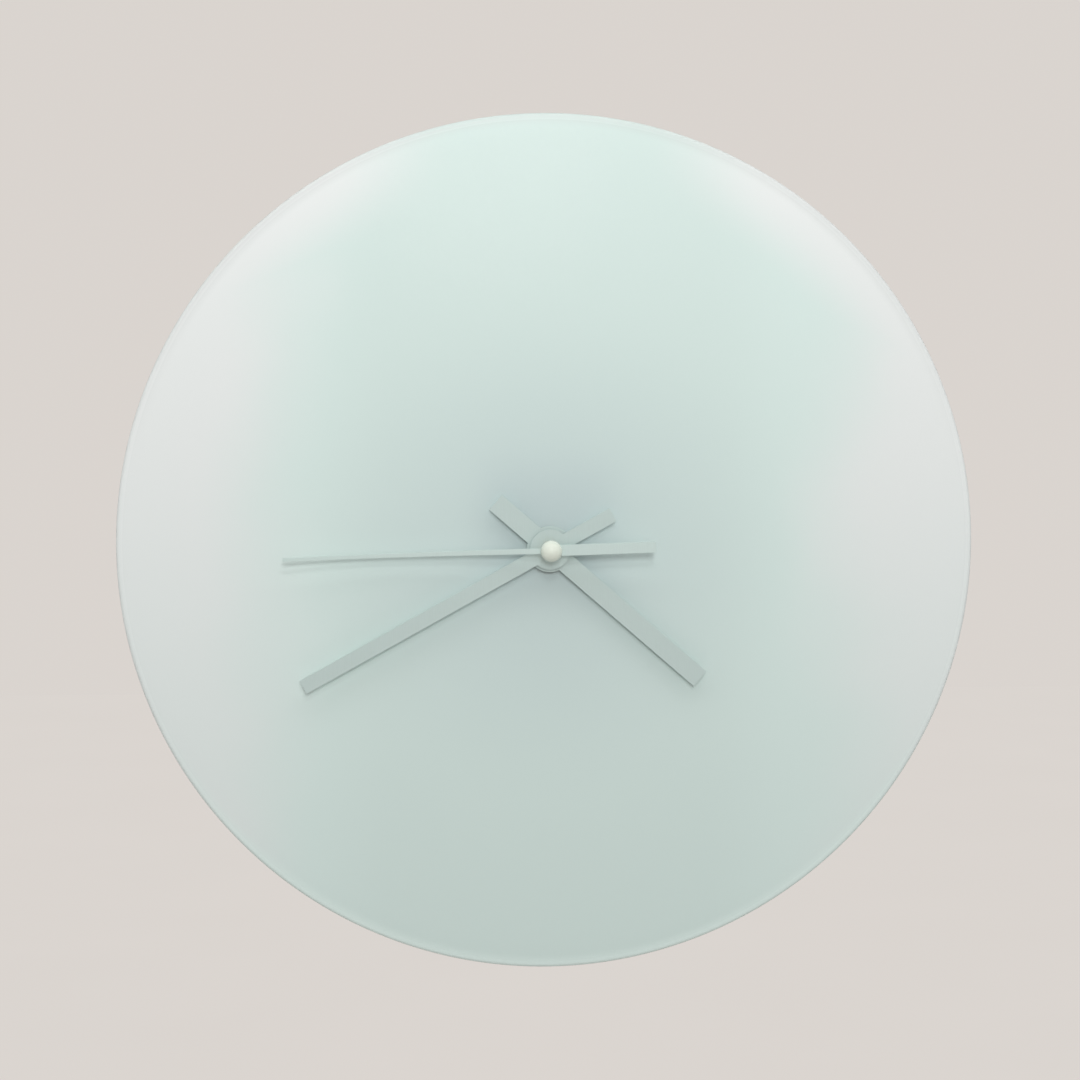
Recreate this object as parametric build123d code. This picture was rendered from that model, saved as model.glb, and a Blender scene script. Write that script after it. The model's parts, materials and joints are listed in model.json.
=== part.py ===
# Frosted glass wall clock: a round glass dial clamped to a quartz movement that hangs on the wall.
# Millimetres. X runs to the viewer's right, Z runs up and the dial faces -Y.
# The origin is the centre of the hanging hole, in the plane of the wall.
# Depths are given as distances forward of the wall, and places as (x, z) from the axis of the hands.

import math
import os

from build123d import *

# Glass dial
DIAL_DIAMETER = 300.0
DIAL_THICKNESS = 4.0
DIAL_EDGE_RADIUS = 1.4
DIAL_HOLE_GAP = 0.3

# Clamp at the centre of the dial
BUSH_DIAMETER = 7.9
BUSH_FLANGE_DIAMETER = 11.0
BUSH_FLANGE_THICKNESS = 0.8
BUSH_END_LENGTH = 0.2
GASKET_DIAMETER = 26.0
GASKET_THICKNESS = 1.0
WASHER_DIAMETER = 13.0
WASHER_THICKNESS = 0.4
NUT_ACROSS_FLATS = 11.0
NUT_THICKNESS = 1.4
NUT_CORNER_CHAMFER = 0.35

# Hands: reach and tail are measured from the axis, angles run clockwise from twelve
HOUR_REACH = 70.0
HOUR_TAIL = 25.0
HOUR_WIDTH = 6.8
HOUR_THICKNESS = 0.6
HOUR_BOSS_DIAMETER = 16.0
HOUR_ANGLE = 131.0
MINUTE_REACH = 98.0
MINUTE_TAIL = 25.0
MINUTE_WIDTH = 5.1
MINUTE_THICKNESS = 0.5
MINUTE_BOSS_DIAMETER = 14.0
MINUTE_ANGLE = 241.0
SECOND_REACH = 92.0
SECOND_TAIL = 36.2
SECOND_TAIL_WIDTH = 3.8
SECOND_ROOT_WIDTH = 1.9
SECOND_TIP_WIDTH = 1.2
SECOND_THICKNESS = 0.5
SECOND_BEND_START = 6.0
SECOND_SAG_SHARE = 0.63
SECOND_TIP_SAG = 1.2
SECOND_CLEARANCE = 0.6
SECOND_BOSS_DIAMETER = 6.4
SECOND_ANGLE = 268.2
HAND_CORNER_RADIUS = 0.3
HAND_EDGE_RADIUS = 0.15

# Collets, nut, socket and cap that hold the hands
COLLET_WALL = 1.1
COLLET_SHOULDER = 1.0
COLLET_SHOULDER_THICKNESS = 0.3
COLLET_RIVET_HEIGHT = 0.2
HAND_NUT_ACROSS_FLATS = 5.5
HAND_NUT_THICKNESS = 1.2
SOCKET_WALL = 0.7
SOCKET_LENGTH = 2.2
CAP_DIAMETER = 7.4
CAP_FLAT_HEIGHT = 2.0
HOUR_HAND_LIFT = 0.4
HAND_TUBE_END = 0.2
MINUTE_HAND_LIFT = 0.5
SECOND_HAND_LIFT = 2.6

# Concentric shafts
SECOND_ARBOR_DIAMETER = 1.0
MINUTE_TUBE_DIAMETER = 3.5
HOUR_TUBE_DIAMETER = 5.0

# Movement case and back cover
CASE_RISE = 28.0
CASE_WALL = 1.2
FRONT_WALL = 1.6
CASE_CORNER_RADIUS = 3.0
COVER_THICKNESS = 1.4
COVER_LIP_HEIGHT = 0.8
COVER_LIP_THICKNESS = 1.0
COVER_SEAM = 0.1
PARTITION_THICKNESS = 1.0
BAY_NOTCH_WIDTH = 18.0
BAY_NOTCH_DEPTH = 9.0

# Hanger above the movement
HANGER_HOLE_DIAMETER = 6.0
HANGER_HOLE_RISE = 5.5
HANGER_RIM = 3.5
HANGER_FOOT_STEP = 4.5
HANGER_FOOT_HEIGHT = 7.0
HANGER_FILLET = 3.0
FILLET_SHARE = 0.9
HANGER_PEG_DIAMETER = 2.0
HANGER_PEG_LENGTH = 1.0
HANGER_PEG_INSET = 4.0

# Battery, one AA cell
BATTERY_DIAMETER = 14.5
BATTERY_LENGTH = 50.5
BATTERY_BUTTON_DIAMETER = 5.5
BATTERY_BUTTON_LENGTH = 1.0
BATTERY_EDGE_RADIUS = 0.5
BATTERY_GAP = 0.1
BATTERY_SIDE_GAP = 0.3
BATTERY_MARGIN = 0.3
CONTACT_ROOM = 1.55
CONTACT_THICKNESS = 0.3
CONTACT_WIDTH = 5.0
CONTACT_HEIGHT = 12.0
CONTACT_TAB = 2.5
CONTACT_GAP = 0.05
STRIP_WIDTH = 2.0

# Setting knob and stem
KNOB_DIAMETER = 11.0
KNOB_THICKNESS = 2.2
KNOB_FLUTES = 18
KNOB_FLUTE_DIAMETER = 0.9
KNOB_GAP = 0.3
KNOB_MARGIN = 0.3
STEM_DIAMETER = 2.4
STEM_PIVOT_DIAMETER = 1.6

# Wheel train: tooth counts, and the distances and directions between arbors
ROTOR_TEETH = 10
INTERMEDIATE_TEETH = 60
INTERMEDIATE_PINION_TEETH = 12
SECOND_TEETH = 60
SECOND_PINION_TEETH = 10
THIRD_TEETH = 75
THIRD_PINION_TEETH = 10
CENTRE_TEETH = 80
CANNON_TEETH = 12
MOTION_TEETH = 36
MOTION_PINION_TEETH = 10
HOUR_TEETH = 40
SETTING_TEETH = 12
THIRD_DISTANCE = 9.9
THIRD_DIRECTION = math.radians(60.0)
INTERMEDIATE_DISTANCE = 9.0
INTERMEDIATE_DIRECTION = math.radians(20.0)
ROTOR_DISTANCE = 7.7
ROTOR_DIRECTION = math.radians(55.0)
MOTION_DISTANCE = 9.0
MOTION_DIRECTION = math.radians(180.0)
PRESSURE_ANGLE = math.radians(25.0)
ADDENDUM_SHARE = 0.8
DEDENDUM_SHARE = 1.05
TOOTH_THINNING = 0.03

# Layers of the train, from the dial side to the wall
TRAIN_LAYERS = 6
WHEEL_THICKNESS = 0.7
LAYER_GAP = 0.3
PINION_OVERLAP = 0.1
PLATE_THICKNESS = 1.0
MAGNET_LENGTH = 2.2
MAGNET_GAP = 0.5
COVER_ROOM = 0.7

# Arbors, bosses and posts
ARBOR_DIAMETER = 1.0
SLEEVE_DIAMETER = 1.8
MOTION_POST_DIAMETER = 1.6
BOSS_DIAMETER = 2.4
PIVOT_DEPTH = 1.4
PIVOT_END_GAP = 0.2
POST_DIAMETER = 3.0
POST_ROOM = 0.5
POST_LOWER_RIGHT_DIRECTION = math.radians(-35.0)
POST_UPPER_LEFT_DIRECTION = math.radians(165.0)
PLATE_MARGIN = 0.5
PLATE_CORNER_RADIUS = 2.0
SCREW_DIAMETER = 1.4
SCREW_LENGTH = 3.5
SCREW_HEAD_DIAMETER = 2.6
SCREW_HEAD_HEIGHT = 0.6
SCREW_SLOT_WIDTH = 0.4
SCREW_SLOT_DEPTH = 0.3
FLOOR_ROOM = 1.7

# Motor and circuit
MAGNET_DIAMETER = 5.6
STATOR_AIR_GAP = 0.4
STATOR_RIM = 1.2
STATOR_THICKNESS = 1.0
STATOR_LEG_WIDTH = 3.0
CORE_WIDTH = 2.0
CORE_THICKNESS = 1.0
COIL_LENGTH = 13.0
COIL_DIAMETER = 4.8
COIL_FLANGE_DIAMETER = 5.2
COIL_FLANGE_THICKNESS = 0.8
COIL_ROOM = 1.2
BOBBIN_WALL = 0.4
BOARD_THICKNESS = 1.2
BOARD_LIFT = 2.7
BOARD_GAP = 0.6
PEG_DIAMETER = 1.2
PEG_LENGTH = 0.4
CHIP_DIAMETER = 5.0
CHIP_HEIGHT = 1.0
CRYSTAL_DIAMETER = 2.0
CRYSTAL_LENGTH = 6.0

# Fits: radial gaps of a turning shaft and of a pressed or slipped seat
RUNNING_GAP = 0.05
SEAT_GAP = 0.02


def polar(radius, angle, centre=(0.0, 0.0)):
    """Point at a radius and an angle in radians from a centre."""
    return (centre[0] + radius * math.cos(angle), centre[1] + radius * math.sin(angle))


def gear_module(distance, teeth, mate_teeth):
    """Tooth module that puts two gears at the given distance."""
    return 2 * distance / (teeth + mate_teeth)


def tip_radius(teeth, module):
    """Outside radius of a gear."""
    return module * (teeth / 2 + ADDENDUM_SHARE)


# Gear sizes that follow from the arbor distances
ROTOR_MODULE = gear_module(ROTOR_DISTANCE, ROTOR_TEETH, INTERMEDIATE_TEETH)
SECOND_MODULE = gear_module(INTERMEDIATE_DISTANCE, INTERMEDIATE_PINION_TEETH, SECOND_TEETH)
THIRD_MODULE = gear_module(THIRD_DISTANCE, SECOND_PINION_TEETH, THIRD_TEETH)
CENTRE_MODULE = gear_module(THIRD_DISTANCE, THIRD_PINION_TEETH, CENTRE_TEETH)
MOTION_MODULE = gear_module(MOTION_DISTANCE, CANNON_TEETH, MOTION_TEETH)
HOUR_MODULE = gear_module(MOTION_DISTANCE, MOTION_PINION_TEETH, HOUR_TEETH)
SETTING_DISTANCE = MOTION_MODULE * (MOTION_TEETH + SETTING_TEETH) / 2
CENTRE_TIP = tip_radius(CENTRE_TEETH, CENTRE_MODULE)
SECOND_TIP = tip_radius(SECOND_TEETH, SECOND_MODULE)
THIRD_TIP = tip_radius(THIRD_TEETH, THIRD_MODULE)
MOTION_TIP = tip_radius(MOTION_TEETH, MOTION_MODULE)

# Places of the arbors
AXIS = (0.0, 0.0)
THIRD = polar(THIRD_DISTANCE, THIRD_DIRECTION)
INTERMEDIATE = polar(INTERMEDIATE_DISTANCE, INTERMEDIATE_DIRECTION)
ROTOR = polar(ROTOR_DISTANCE, ROTOR_DIRECTION, INTERMEDIATE)
MOTION = polar(MOTION_DISTANCE, MOTION_DIRECTION)
SETTING = polar(SETTING_DISTANCE, MOTION_DIRECTION, MOTION)

# Posts under the train plate stand just clear of the wheels beside them
POST_REACH = POST_ROOM + POST_DIAMETER / 2
POSTS = [
    (MOTION[0], MOTION[1] - MOTION_TIP - POST_REACH),
    polar(CENTRE_TIP + POST_REACH, POST_LOWER_RIGHT_DIRECTION),
    (THIRD[0] + THIRD_TIP + POST_REACH, THIRD[1]),
    polar(THIRD_TIP + POST_REACH, POST_UPPER_LEFT_DIRECTION, THIRD),
]

# Depths of the train, counted forward from the wall
LAYER = LAYER_GAP + WHEEL_THICKNESS
TRAIN_DEPTH = TRAIN_LAYERS * LAYER + LAYER_GAP + PLATE_THICKNESS + MAGNET_GAP + MAGNET_LENGTH + COVER_ROOM
COVER_BACK_MIN = KNOB_MARGIN + KNOB_THICKNESS + KNOB_GAP
FRONT_INNER = max(
    COVER_BACK_MIN + COVER_THICKNESS + TRAIN_DEPTH,
    BATTERY_MARGIN + BATTERY_DIAMETER + BATTERY_GAP,
)
CASE_DEPTH = FRONT_INNER + FRONT_WALL
HOUR_BACK = FRONT_INNER - LAYER
MOTION_BACK = HOUR_BACK - LAYER
CENTRE_BACK = MOTION_BACK - LAYER
THIRD_BACK = CENTRE_BACK - LAYER
PLATE_FRONT = THIRD_BACK - LAYER_GAP
PLATE_BACK = PLATE_FRONT - PLATE_THICKNESS
SECOND_BACK = PLATE_BACK - LAYER
INTERMEDIATE_BACK = SECOND_BACK - LAYER
MAGNET_BACK = INTERMEDIATE_BACK - MAGNET_GAP - MAGNET_LENGTH
COVER_FRONT = MAGNET_BACK - COVER_ROOM
COVER_BACK = COVER_FRONT - COVER_THICKNESS
KNOB_FRONT = COVER_BACK - KNOB_GAP
KNOB_BACK = KNOB_FRONT - KNOB_THICKNESS
STEM_END = (KNOB_FRONT + KNOB_BACK) / 2
STEM_PIVOT_END = FRONT_INNER + FRONT_WALL / 2
THIRD_BOSS_BACK = CENTRE_BACK + LAYER

# Depths of the clamp and the hands
GLASS_BACK = CASE_DEPTH + GASKET_THICKNESS
GLASS_FRONT = GLASS_BACK + DIAL_THICKNESS
NUT_BACK = GLASS_FRONT + WASHER_THICKNESS
BUSH_END = NUT_BACK + NUT_THICKNESS + BUSH_END_LENGTH
HOUR_COLLET_BACK = BUSH_END + HOUR_HAND_LIFT
HOUR_HAND_BACK = HOUR_COLLET_BACK + COLLET_SHOULDER_THICKNESS
HOUR_COLLET_END = HOUR_HAND_BACK + HOUR_THICKNESS + COLLET_RIVET_HEIGHT
HOUR_TUBE_END = HOUR_COLLET_END + HAND_TUBE_END
MINUTE_COLLET_BACK = HOUR_TUBE_END + MINUTE_HAND_LIFT
MINUTE_HAND_BACK = MINUTE_COLLET_BACK + COLLET_SHOULDER_THICKNESS
MINUTE_COLLET_END = MINUTE_HAND_BACK + MINUTE_THICKNESS + COLLET_RIVET_HEIGHT
MINUTE_TUBE_END = MINUTE_COLLET_END + HAND_NUT_THICKNESS + HAND_TUBE_END
SOCKET_BACK = MINUTE_TUBE_END + SECOND_HAND_LIFT
SECOND_HAND_BACK = SOCKET_BACK + COLLET_SHOULDER_THICKNESS
SECOND_HAND_FRONT = SECOND_HAND_BACK + SECOND_THICKNESS
SECOND_SAG = SECOND_HAND_BACK - MINUTE_HAND_BACK - MINUTE_THICKNESS - SECOND_CLEARANCE
SOCKET_END = SECOND_HAND_FRONT + SOCKET_LENGTH
SECOND_ARBOR_END = SOCKET_END - SEAT_GAP

# Outline of the movement, from the battery bay and the wheels above it
CASE_WIDTH = BATTERY_LENGTH + 2 * CONTACT_ROOM + 2 * CASE_WALL
CASE_INNER_HALF = CASE_WIDTH / 2 - CASE_WALL
PARTITION_TOP = min(
    -max(CENTRE_TIP, SECOND_TIP) - FLOOR_ROOM,
    min(z for x, z in POSTS) - POST_DIAMETER / 2 - PLATE_MARGIN - COVER_SEAM,
)
BAY_TOP = PARTITION_TOP - PARTITION_THICKNESS
BAY_BOTTOM = BAY_TOP - BATTERY_DIAMETER - 2 * BATTERY_SIDE_GAP
CASE_BOTTOM = BAY_BOTTOM - CASE_WALL
CASE_INNER_TOP = CASE_RISE - CASE_WALL
BATTERY_Z = (BAY_TOP + BAY_BOTTOM) / 2
BATTERY_FORWARD = FRONT_INNER - BATTERY_GAP - BATTERY_DIAMETER / 2
HANGER_RISE = CASE_RISE + HANGER_HOLE_RISE
HANGER_HALF = HANGER_HOLE_DIAMETER / 2 + HANGER_RIM
HANGER_FOOT_HALF = HANGER_HALF + HANGER_FOOT_STEP

# Motor and circuit places
STATOR_BACK = MAGNET_BACK + (MAGNET_LENGTH - STATOR_THICKNESS) / 2
CORE_BACK = STATOR_BACK + STATOR_THICKNESS
CORE_FRONT = CORE_BACK + CORE_THICKNESS
CORE_CENTRE = (CORE_BACK + CORE_FRONT) / 2
COIL_Z = CASE_INNER_TOP - COIL_ROOM - COIL_FLANGE_DIAMETER / 2
LEG_X = COIL_LENGTH / 2 + SEAT_GAP + STATOR_LEG_WIDTH / 2
LEGS = [(ROTOR[0] - LEG_X, COIL_Z), (ROTOR[0] + LEG_X, COIL_Z)]
BOARD_FRONT = FRONT_INNER - BOARD_LIFT
BOARD_BACK = BOARD_FRONT - BOARD_THICKNESS
BOARD_LEFT = -CASE_INNER_HALF + 2 * CONTACT_THICKNESS
BOARD_RIGHT = THIRD[0] - THIRD_TIP - BOARD_GAP
BOARD_BOTTOM = POSTS[3][1] + POST_DIAMETER / 2 + PLATE_MARGIN + BOARD_GAP
BOARD_TOP = CASE_INNER_TOP - BOARD_GAP
BOARD_PEGS = [
    (BOARD_LEFT + POST_DIAMETER, (BOARD_BOTTOM + BOARD_TOP) / 2),
    (BOARD_RIGHT - POST_DIAMETER, (BOARD_BOTTOM + BOARD_TOP) / 2),
]


def dial_plane(forward, at=AXIS):
    """Plane that faces the viewer, with its own x to the right and its own y up."""
    origin = (at[0], -forward, at[1] - HANGER_RISE)
    return Plane(origin=origin, x_dir=(1, 0, 0), z_dir=(0, -1, 0))


def slab(sketch, back, front, at=AXIS):
    """Solid between two depths with the given outline."""
    return extrude(dial_plane(back, at) * sketch, front - back)


def turned(sketch, clock_angle):
    return Rot(0, 0, -clock_angle) * sketch


def disc(diameter, back, front, at=AXIS):
    return slab(Circle(diameter / 2), back, front, at)


def block(left, right, bottom, top, back, front):
    """Box between two depths, placed by its edges."""
    outline = Pos((left + right) / 2, (bottom + top) / 2) * Rectangle(right - left, top - bottom)
    return slab(outline, back, front)


def gear_outline(teeth, module, phase=0.0):
    """Spur gear with involute flanks drawn as chords and thinned for play."""
    pitch = module * teeth / 2
    base = pitch * math.cos(PRESSURE_ANGLE)
    root = pitch - DEDENDUM_SHARE * module
    pitch_half = math.pi / (2 * teeth) - TOOTH_THINNING / pitch

    def involute(angle):
        return math.tan(angle) - angle

    def half_angle(radius):
        spread = math.acos(base / max(radius, base))
        return pitch_half + involute(PRESSURE_ANGLE) - involute(spread)

    flank = [(radius, half_angle(radius)) for radius in (root, pitch, tip_radius(teeth, module))]
    points = []
    for tooth in range(teeth):
        centre = phase + tooth * 2 * math.pi / teeth
        points += [polar(radius, centre - half) for radius, half in flank]
        points += [polar(radius, centre + half) for radius, half in reversed(flank)]
    return Polygon(*points, align=None)


def gear(teeth, module, back, front, at=AXIS, phase=0.0):
    return slab(gear_outline(teeth, module, phase), back, front, at)


def meshed_phase(phase, teeth, place, mate_place, mate_teeth):
    """Phase of the mating gear that puts a gap against the first gear's tooth."""
    direction = math.atan2(mate_place[1] - place[1], mate_place[0] - place[0])
    share = (direction - phase) * teeth / mate_teeth
    return direction + math.pi + math.pi / mate_teeth + share


def save(name, shape):
    solids = shape.solids()
    export_step(solids[0] if len(solids) == 1 else Compound(children=solids), f"parts/{name}.step")
    print(name, len(solids), round(sum(solid.volume for solid in solids), 2))


def bore(shaft_diameter, gap):
    return shaft_diameter + 2 * gap


# Dial and clamp

def glass_dial():
    glass = disc(DIAL_DIAMETER, GLASS_BACK, GLASS_FRONT)
    rim = glass.edges().filter_by(GeomType.CIRCLE)
    glass = fillet(rim, DIAL_EDGE_RADIUS)
    return glass - disc(bore(BUSH_DIAMETER, DIAL_HOLE_GAP), GLASS_BACK, GLASS_FRONT)


def rubber_gasket():
    hole = Circle(bore(BUSH_DIAMETER, SEAT_GAP) / 2)
    return slab(Circle(GASKET_DIAMETER / 2) - hole, CASE_DEPTH, GLASS_BACK)


def dial_washer():
    hole = Circle(bore(BUSH_DIAMETER, SEAT_GAP) / 2)
    return slab(Circle(WASHER_DIAMETER / 2) - hole, GLASS_FRONT, NUT_BACK)


def hexagon(across_flats):
    return RegularPolygon(across_flats / 2, 6, major_radius=False)


def hexagon_nut(across_flats, hole, back, front, clock_angle):
    """Hexagon nut whose front corners are turned off."""
    crown = disc(across_flats / math.cos(math.pi / 6), back, front)
    front_edge = crown.edges().filter_by(GeomType.CIRCLE).sort_by(Axis.Y)[0]
    crown = chamfer(front_edge, NUT_CORNER_CHAMFER)
    nut = slab(turned(hexagon(across_flats), clock_angle), back, front) & crown
    return nut - disc(hole, back, front)


def fixing_nut():
    hole = bore(BUSH_DIAMETER, SEAT_GAP)
    return hexagon_nut(NUT_ACROSS_FLATS, hole, NUT_BACK, NUT_BACK + NUT_THICKNESS, 0.0)


def threaded_bush():
    flange = disc(BUSH_FLANGE_DIAMETER, FRONT_INNER, FRONT_INNER + BUSH_FLANGE_THICKNESS)
    barrel = disc(BUSH_DIAMETER, FRONT_INNER, BUSH_END)
    return flange + barrel - disc(bore(HOUR_TUBE_DIAMETER, RUNNING_GAP), FRONT_INNER, BUSH_END)


# Hands

def baton(width, reach, tail):
    """Parallel bar from the tail, below the axis, up to the tip."""
    return Pos(0, (reach - tail) / 2) * RectangleRounded(width, reach + tail, HAND_CORNER_RADIUS)


def pressed_hand(outline, hole, back, thickness, clock_angle):
    """Flat hand with its front edge eased."""
    plate = slab(turned(outline, clock_angle), back, back + thickness)
    front_face = plate.faces().sort_by(Axis.Y)[0]
    plate = fillet(front_face.edges(), HAND_EDGE_RADIUS)
    return plate - disc(hole, back, back + thickness)


def collet(shaft_diameter, back, hand_back, end):
    """Brass collet whose shoulder carries a hand and whose neck is riveted over it."""
    neck = shaft_diameter + 2 * COLLET_WALL
    body = disc(neck, back, end) + disc(neck + 2 * COLLET_SHOULDER, back, hand_back)
    return body - disc(bore(shaft_diameter, SEAT_GAP), back, end)


def neck_hole(shaft_diameter):
    return bore(shaft_diameter + 2 * COLLET_WALL, SEAT_GAP)


def hour_hand():
    outline = baton(HOUR_WIDTH, HOUR_REACH, HOUR_TAIL) + Circle(HOUR_BOSS_DIAMETER / 2)
    hole = neck_hole(HOUR_TUBE_DIAMETER)
    return pressed_hand(outline, hole, HOUR_HAND_BACK, HOUR_THICKNESS, HOUR_ANGLE)


def hour_collet():
    return collet(HOUR_TUBE_DIAMETER, HOUR_COLLET_BACK, HOUR_HAND_BACK, HOUR_COLLET_END)


def minute_hand():
    outline = baton(MINUTE_WIDTH, MINUTE_REACH, MINUTE_TAIL) + Circle(MINUTE_BOSS_DIAMETER / 2)
    hole = neck_hole(MINUTE_TUBE_DIAMETER)
    return pressed_hand(outline, hole, MINUTE_HAND_BACK, MINUTE_THICKNESS, MINUTE_ANGLE)


def minute_collet():
    return collet(MINUTE_TUBE_DIAMETER, MINUTE_COLLET_BACK, MINUTE_HAND_BACK, MINUTE_COLLET_END)


def hand_nut():
    hole = bore(MINUTE_TUBE_DIAMETER, SEAT_GAP)
    front = MINUTE_COLLET_END + HAND_NUT_THICKNESS
    return hexagon_nut(HAND_NUT_ACROSS_FLATS, hole, MINUTE_COLLET_END, front, MINUTE_ANGLE)


def second_side():
    """The second hand seen edge on: a flat tail, and an arm that bows towards the dial and back."""
    def bowed_edge(forward):
        deepest = (SECOND_SAG_SHARE * SECOND_REACH, forward - SECOND_SAG)
        return ThreePointArc((SECOND_BEND_START, forward), deepest, (SECOND_REACH, forward - SECOND_TIP_SAG))

    back, front = SECOND_HAND_BACK, SECOND_HAND_FRONT
    flat = Polyline(
        (SECOND_BEND_START, front), (-SECOND_TAIL, front), (-SECOND_TAIL, back), (SECOND_BEND_START, back)
    )
    tip = Line((SECOND_REACH, back - SECOND_TIP_SAG), (SECOND_REACH, front - SECOND_TIP_SAG))
    return make_face(flat + bowed_edge(back) + tip + bowed_edge(front))


def second_hand():
    root, tip = SECOND_ROOT_WIDTH / 2, SECOND_TIP_WIDTH / 2
    arm = Polygon((-root, 0), (root, 0), (tip, SECOND_REACH), (-tip, SECOND_REACH), align=None)
    tail = Pos(0, -SECOND_TAIL / 2) * Rectangle(SECOND_TAIL_WIDTH, SECOND_TAIL)
    outline = arm + tail + Circle(SECOND_BOSS_DIAMETER / 2)
    low = MINUTE_HAND_BACK
    plan = slab(turned(outline, SECOND_ANGLE), low, SECOND_HAND_FRONT)
    along = math.radians(SECOND_ANGLE)
    edge_on = Plane(
        origin=(AXIS[0], 0, AXIS[1] - HANGER_RISE),
        x_dir=(math.sin(along), 0, math.cos(along)),
        z_dir=(math.cos(along), 0, -math.sin(along)),
    )
    hand = plan & extrude(edge_on * second_side(), SECOND_BOSS_DIAMETER, both=True)
    hole = bore(SECOND_ARBOR_DIAMETER + 2 * SOCKET_WALL, SEAT_GAP)
    return hand - disc(hole, low, SECOND_HAND_FRONT)


def second_socket():
    neck = SECOND_ARBOR_DIAMETER + 2 * SOCKET_WALL
    body = disc(neck, SOCKET_BACK, SOCKET_END)
    body += disc(neck + 2 * COLLET_SHOULDER, SOCKET_BACK, SECOND_HAND_BACK)
    return body - disc(bore(SECOND_ARBOR_DIAMETER, SEAT_GAP), SOCKET_BACK, SOCKET_END)


def centre_cap():
    """Ball pushed over the socket, cut flat where it sits on the second hand."""
    centre = dial_plane(SECOND_HAND_FRONT + CAP_FLAT_HEIGHT)
    ball = centre * Sphere(CAP_DIAMETER / 2)
    ball -= disc(2 * CAP_DIAMETER, SECOND_HAND_FRONT - CAP_DIAMETER, SECOND_HAND_FRONT)
    hole = bore(SECOND_ARBOR_DIAMETER + 2 * SOCKET_WALL, SEAT_GAP)
    return ball - disc(hole, SECOND_HAND_FRONT, SOCKET_END + SEAT_GAP)


# Movement case

def case_outline():
    middle = (CASE_RISE + CASE_BOTTOM) / 2
    return Pos(0, middle) * RectangleRounded(CASE_WIDTH, CASE_RISE - CASE_BOTTOM, CASE_CORNER_RADIUS)


def movement_case():
    """Dial-side shell with the battery bay, its finger notch and the posts for the train."""
    case = slab(case_outline(), 0, CASE_DEPTH)
    case -= block(-CASE_WIDTH, CASE_WIDTH, PARTITION_TOP, CASE_RISE + CASE_WALL, 0, COVER_FRONT)
    case -= block(-CASE_INNER_HALF, CASE_INNER_HALF, PARTITION_TOP, CASE_INNER_TOP, 0, FRONT_INNER)
    case -= block(-CASE_INNER_HALF, CASE_INNER_HALF, BAY_BOTTOM, BAY_TOP, 0, FRONT_INNER)
    notch = BAY_NOTCH_WIDTH / 2
    case -= block(-notch, notch, CASE_BOTTOM - CASE_WALL, BAY_BOTTOM, 0, BAY_NOTCH_DEPTH)
    for place, back in [
        (THIRD, THIRD_BOSS_BACK),
        (SETTING, MOTION_BACK + WHEEL_THICKNESS + PINION_OVERLAP + LAYER_GAP),
    ]:
        case += disc(BOSS_DIAMETER, back, FRONT_INNER, place)
    case -= disc(bore(ARBOR_DIAMETER, RUNNING_GAP), 0, THIRD_BOSS_BACK + PIVOT_DEPTH, THIRD)
    case -= disc(bore(STEM_PIVOT_DIAMETER, RUNNING_GAP), 0, STEM_PIVOT_END, SETTING)
    case += disc(MOTION_POST_DIAMETER, MOTION_BACK - PIVOT_END_GAP / 2, FRONT_INNER, MOTION)
    for place in POSTS:
        case += disc(POST_DIAMETER, PLATE_FRONT, FRONT_INNER, place)
        case -= disc(bore(SCREW_DIAMETER, SEAT_GAP), PLATE_FRONT, PLATE_FRONT + SCREW_LENGTH, place)
    for place, back, end in [
        (LEGS[0], CORE_FRONT, STATOR_BACK - PEG_LENGTH),
        (LEGS[1], CORE_FRONT, STATOR_BACK - PEG_LENGTH),
        (BOARD_PEGS[0], BOARD_FRONT, BOARD_BACK - PEG_LENGTH),
        (BOARD_PEGS[1], BOARD_FRONT, BOARD_BACK - PEG_LENGTH),
    ]:
        case += disc(POST_DIAMETER, back, FRONT_INNER, place)
        case += disc(PEG_DIAMETER, end, FRONT_INNER, place)
    case -= disc(bore(BUSH_DIAMETER, SEAT_GAP), FRONT_INNER, CASE_DEPTH)
    case -= disc(bore(BUSH_FLANGE_DIAMETER, SEAT_GAP), FRONT_INNER, FRONT_INNER + BUSH_FLANGE_THICKNESS)
    slot_inner = CASE_INNER_HALF - CONTACT_THICKNESS - SEAT_GAP
    for left, right in [(-CASE_INNER_HALF, -slot_inner), (slot_inner, CASE_INNER_HALF)]:
        case -= block(left, right, BAY_TOP, PARTITION_TOP, 0, FRONT_INNER)
    return case


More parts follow.
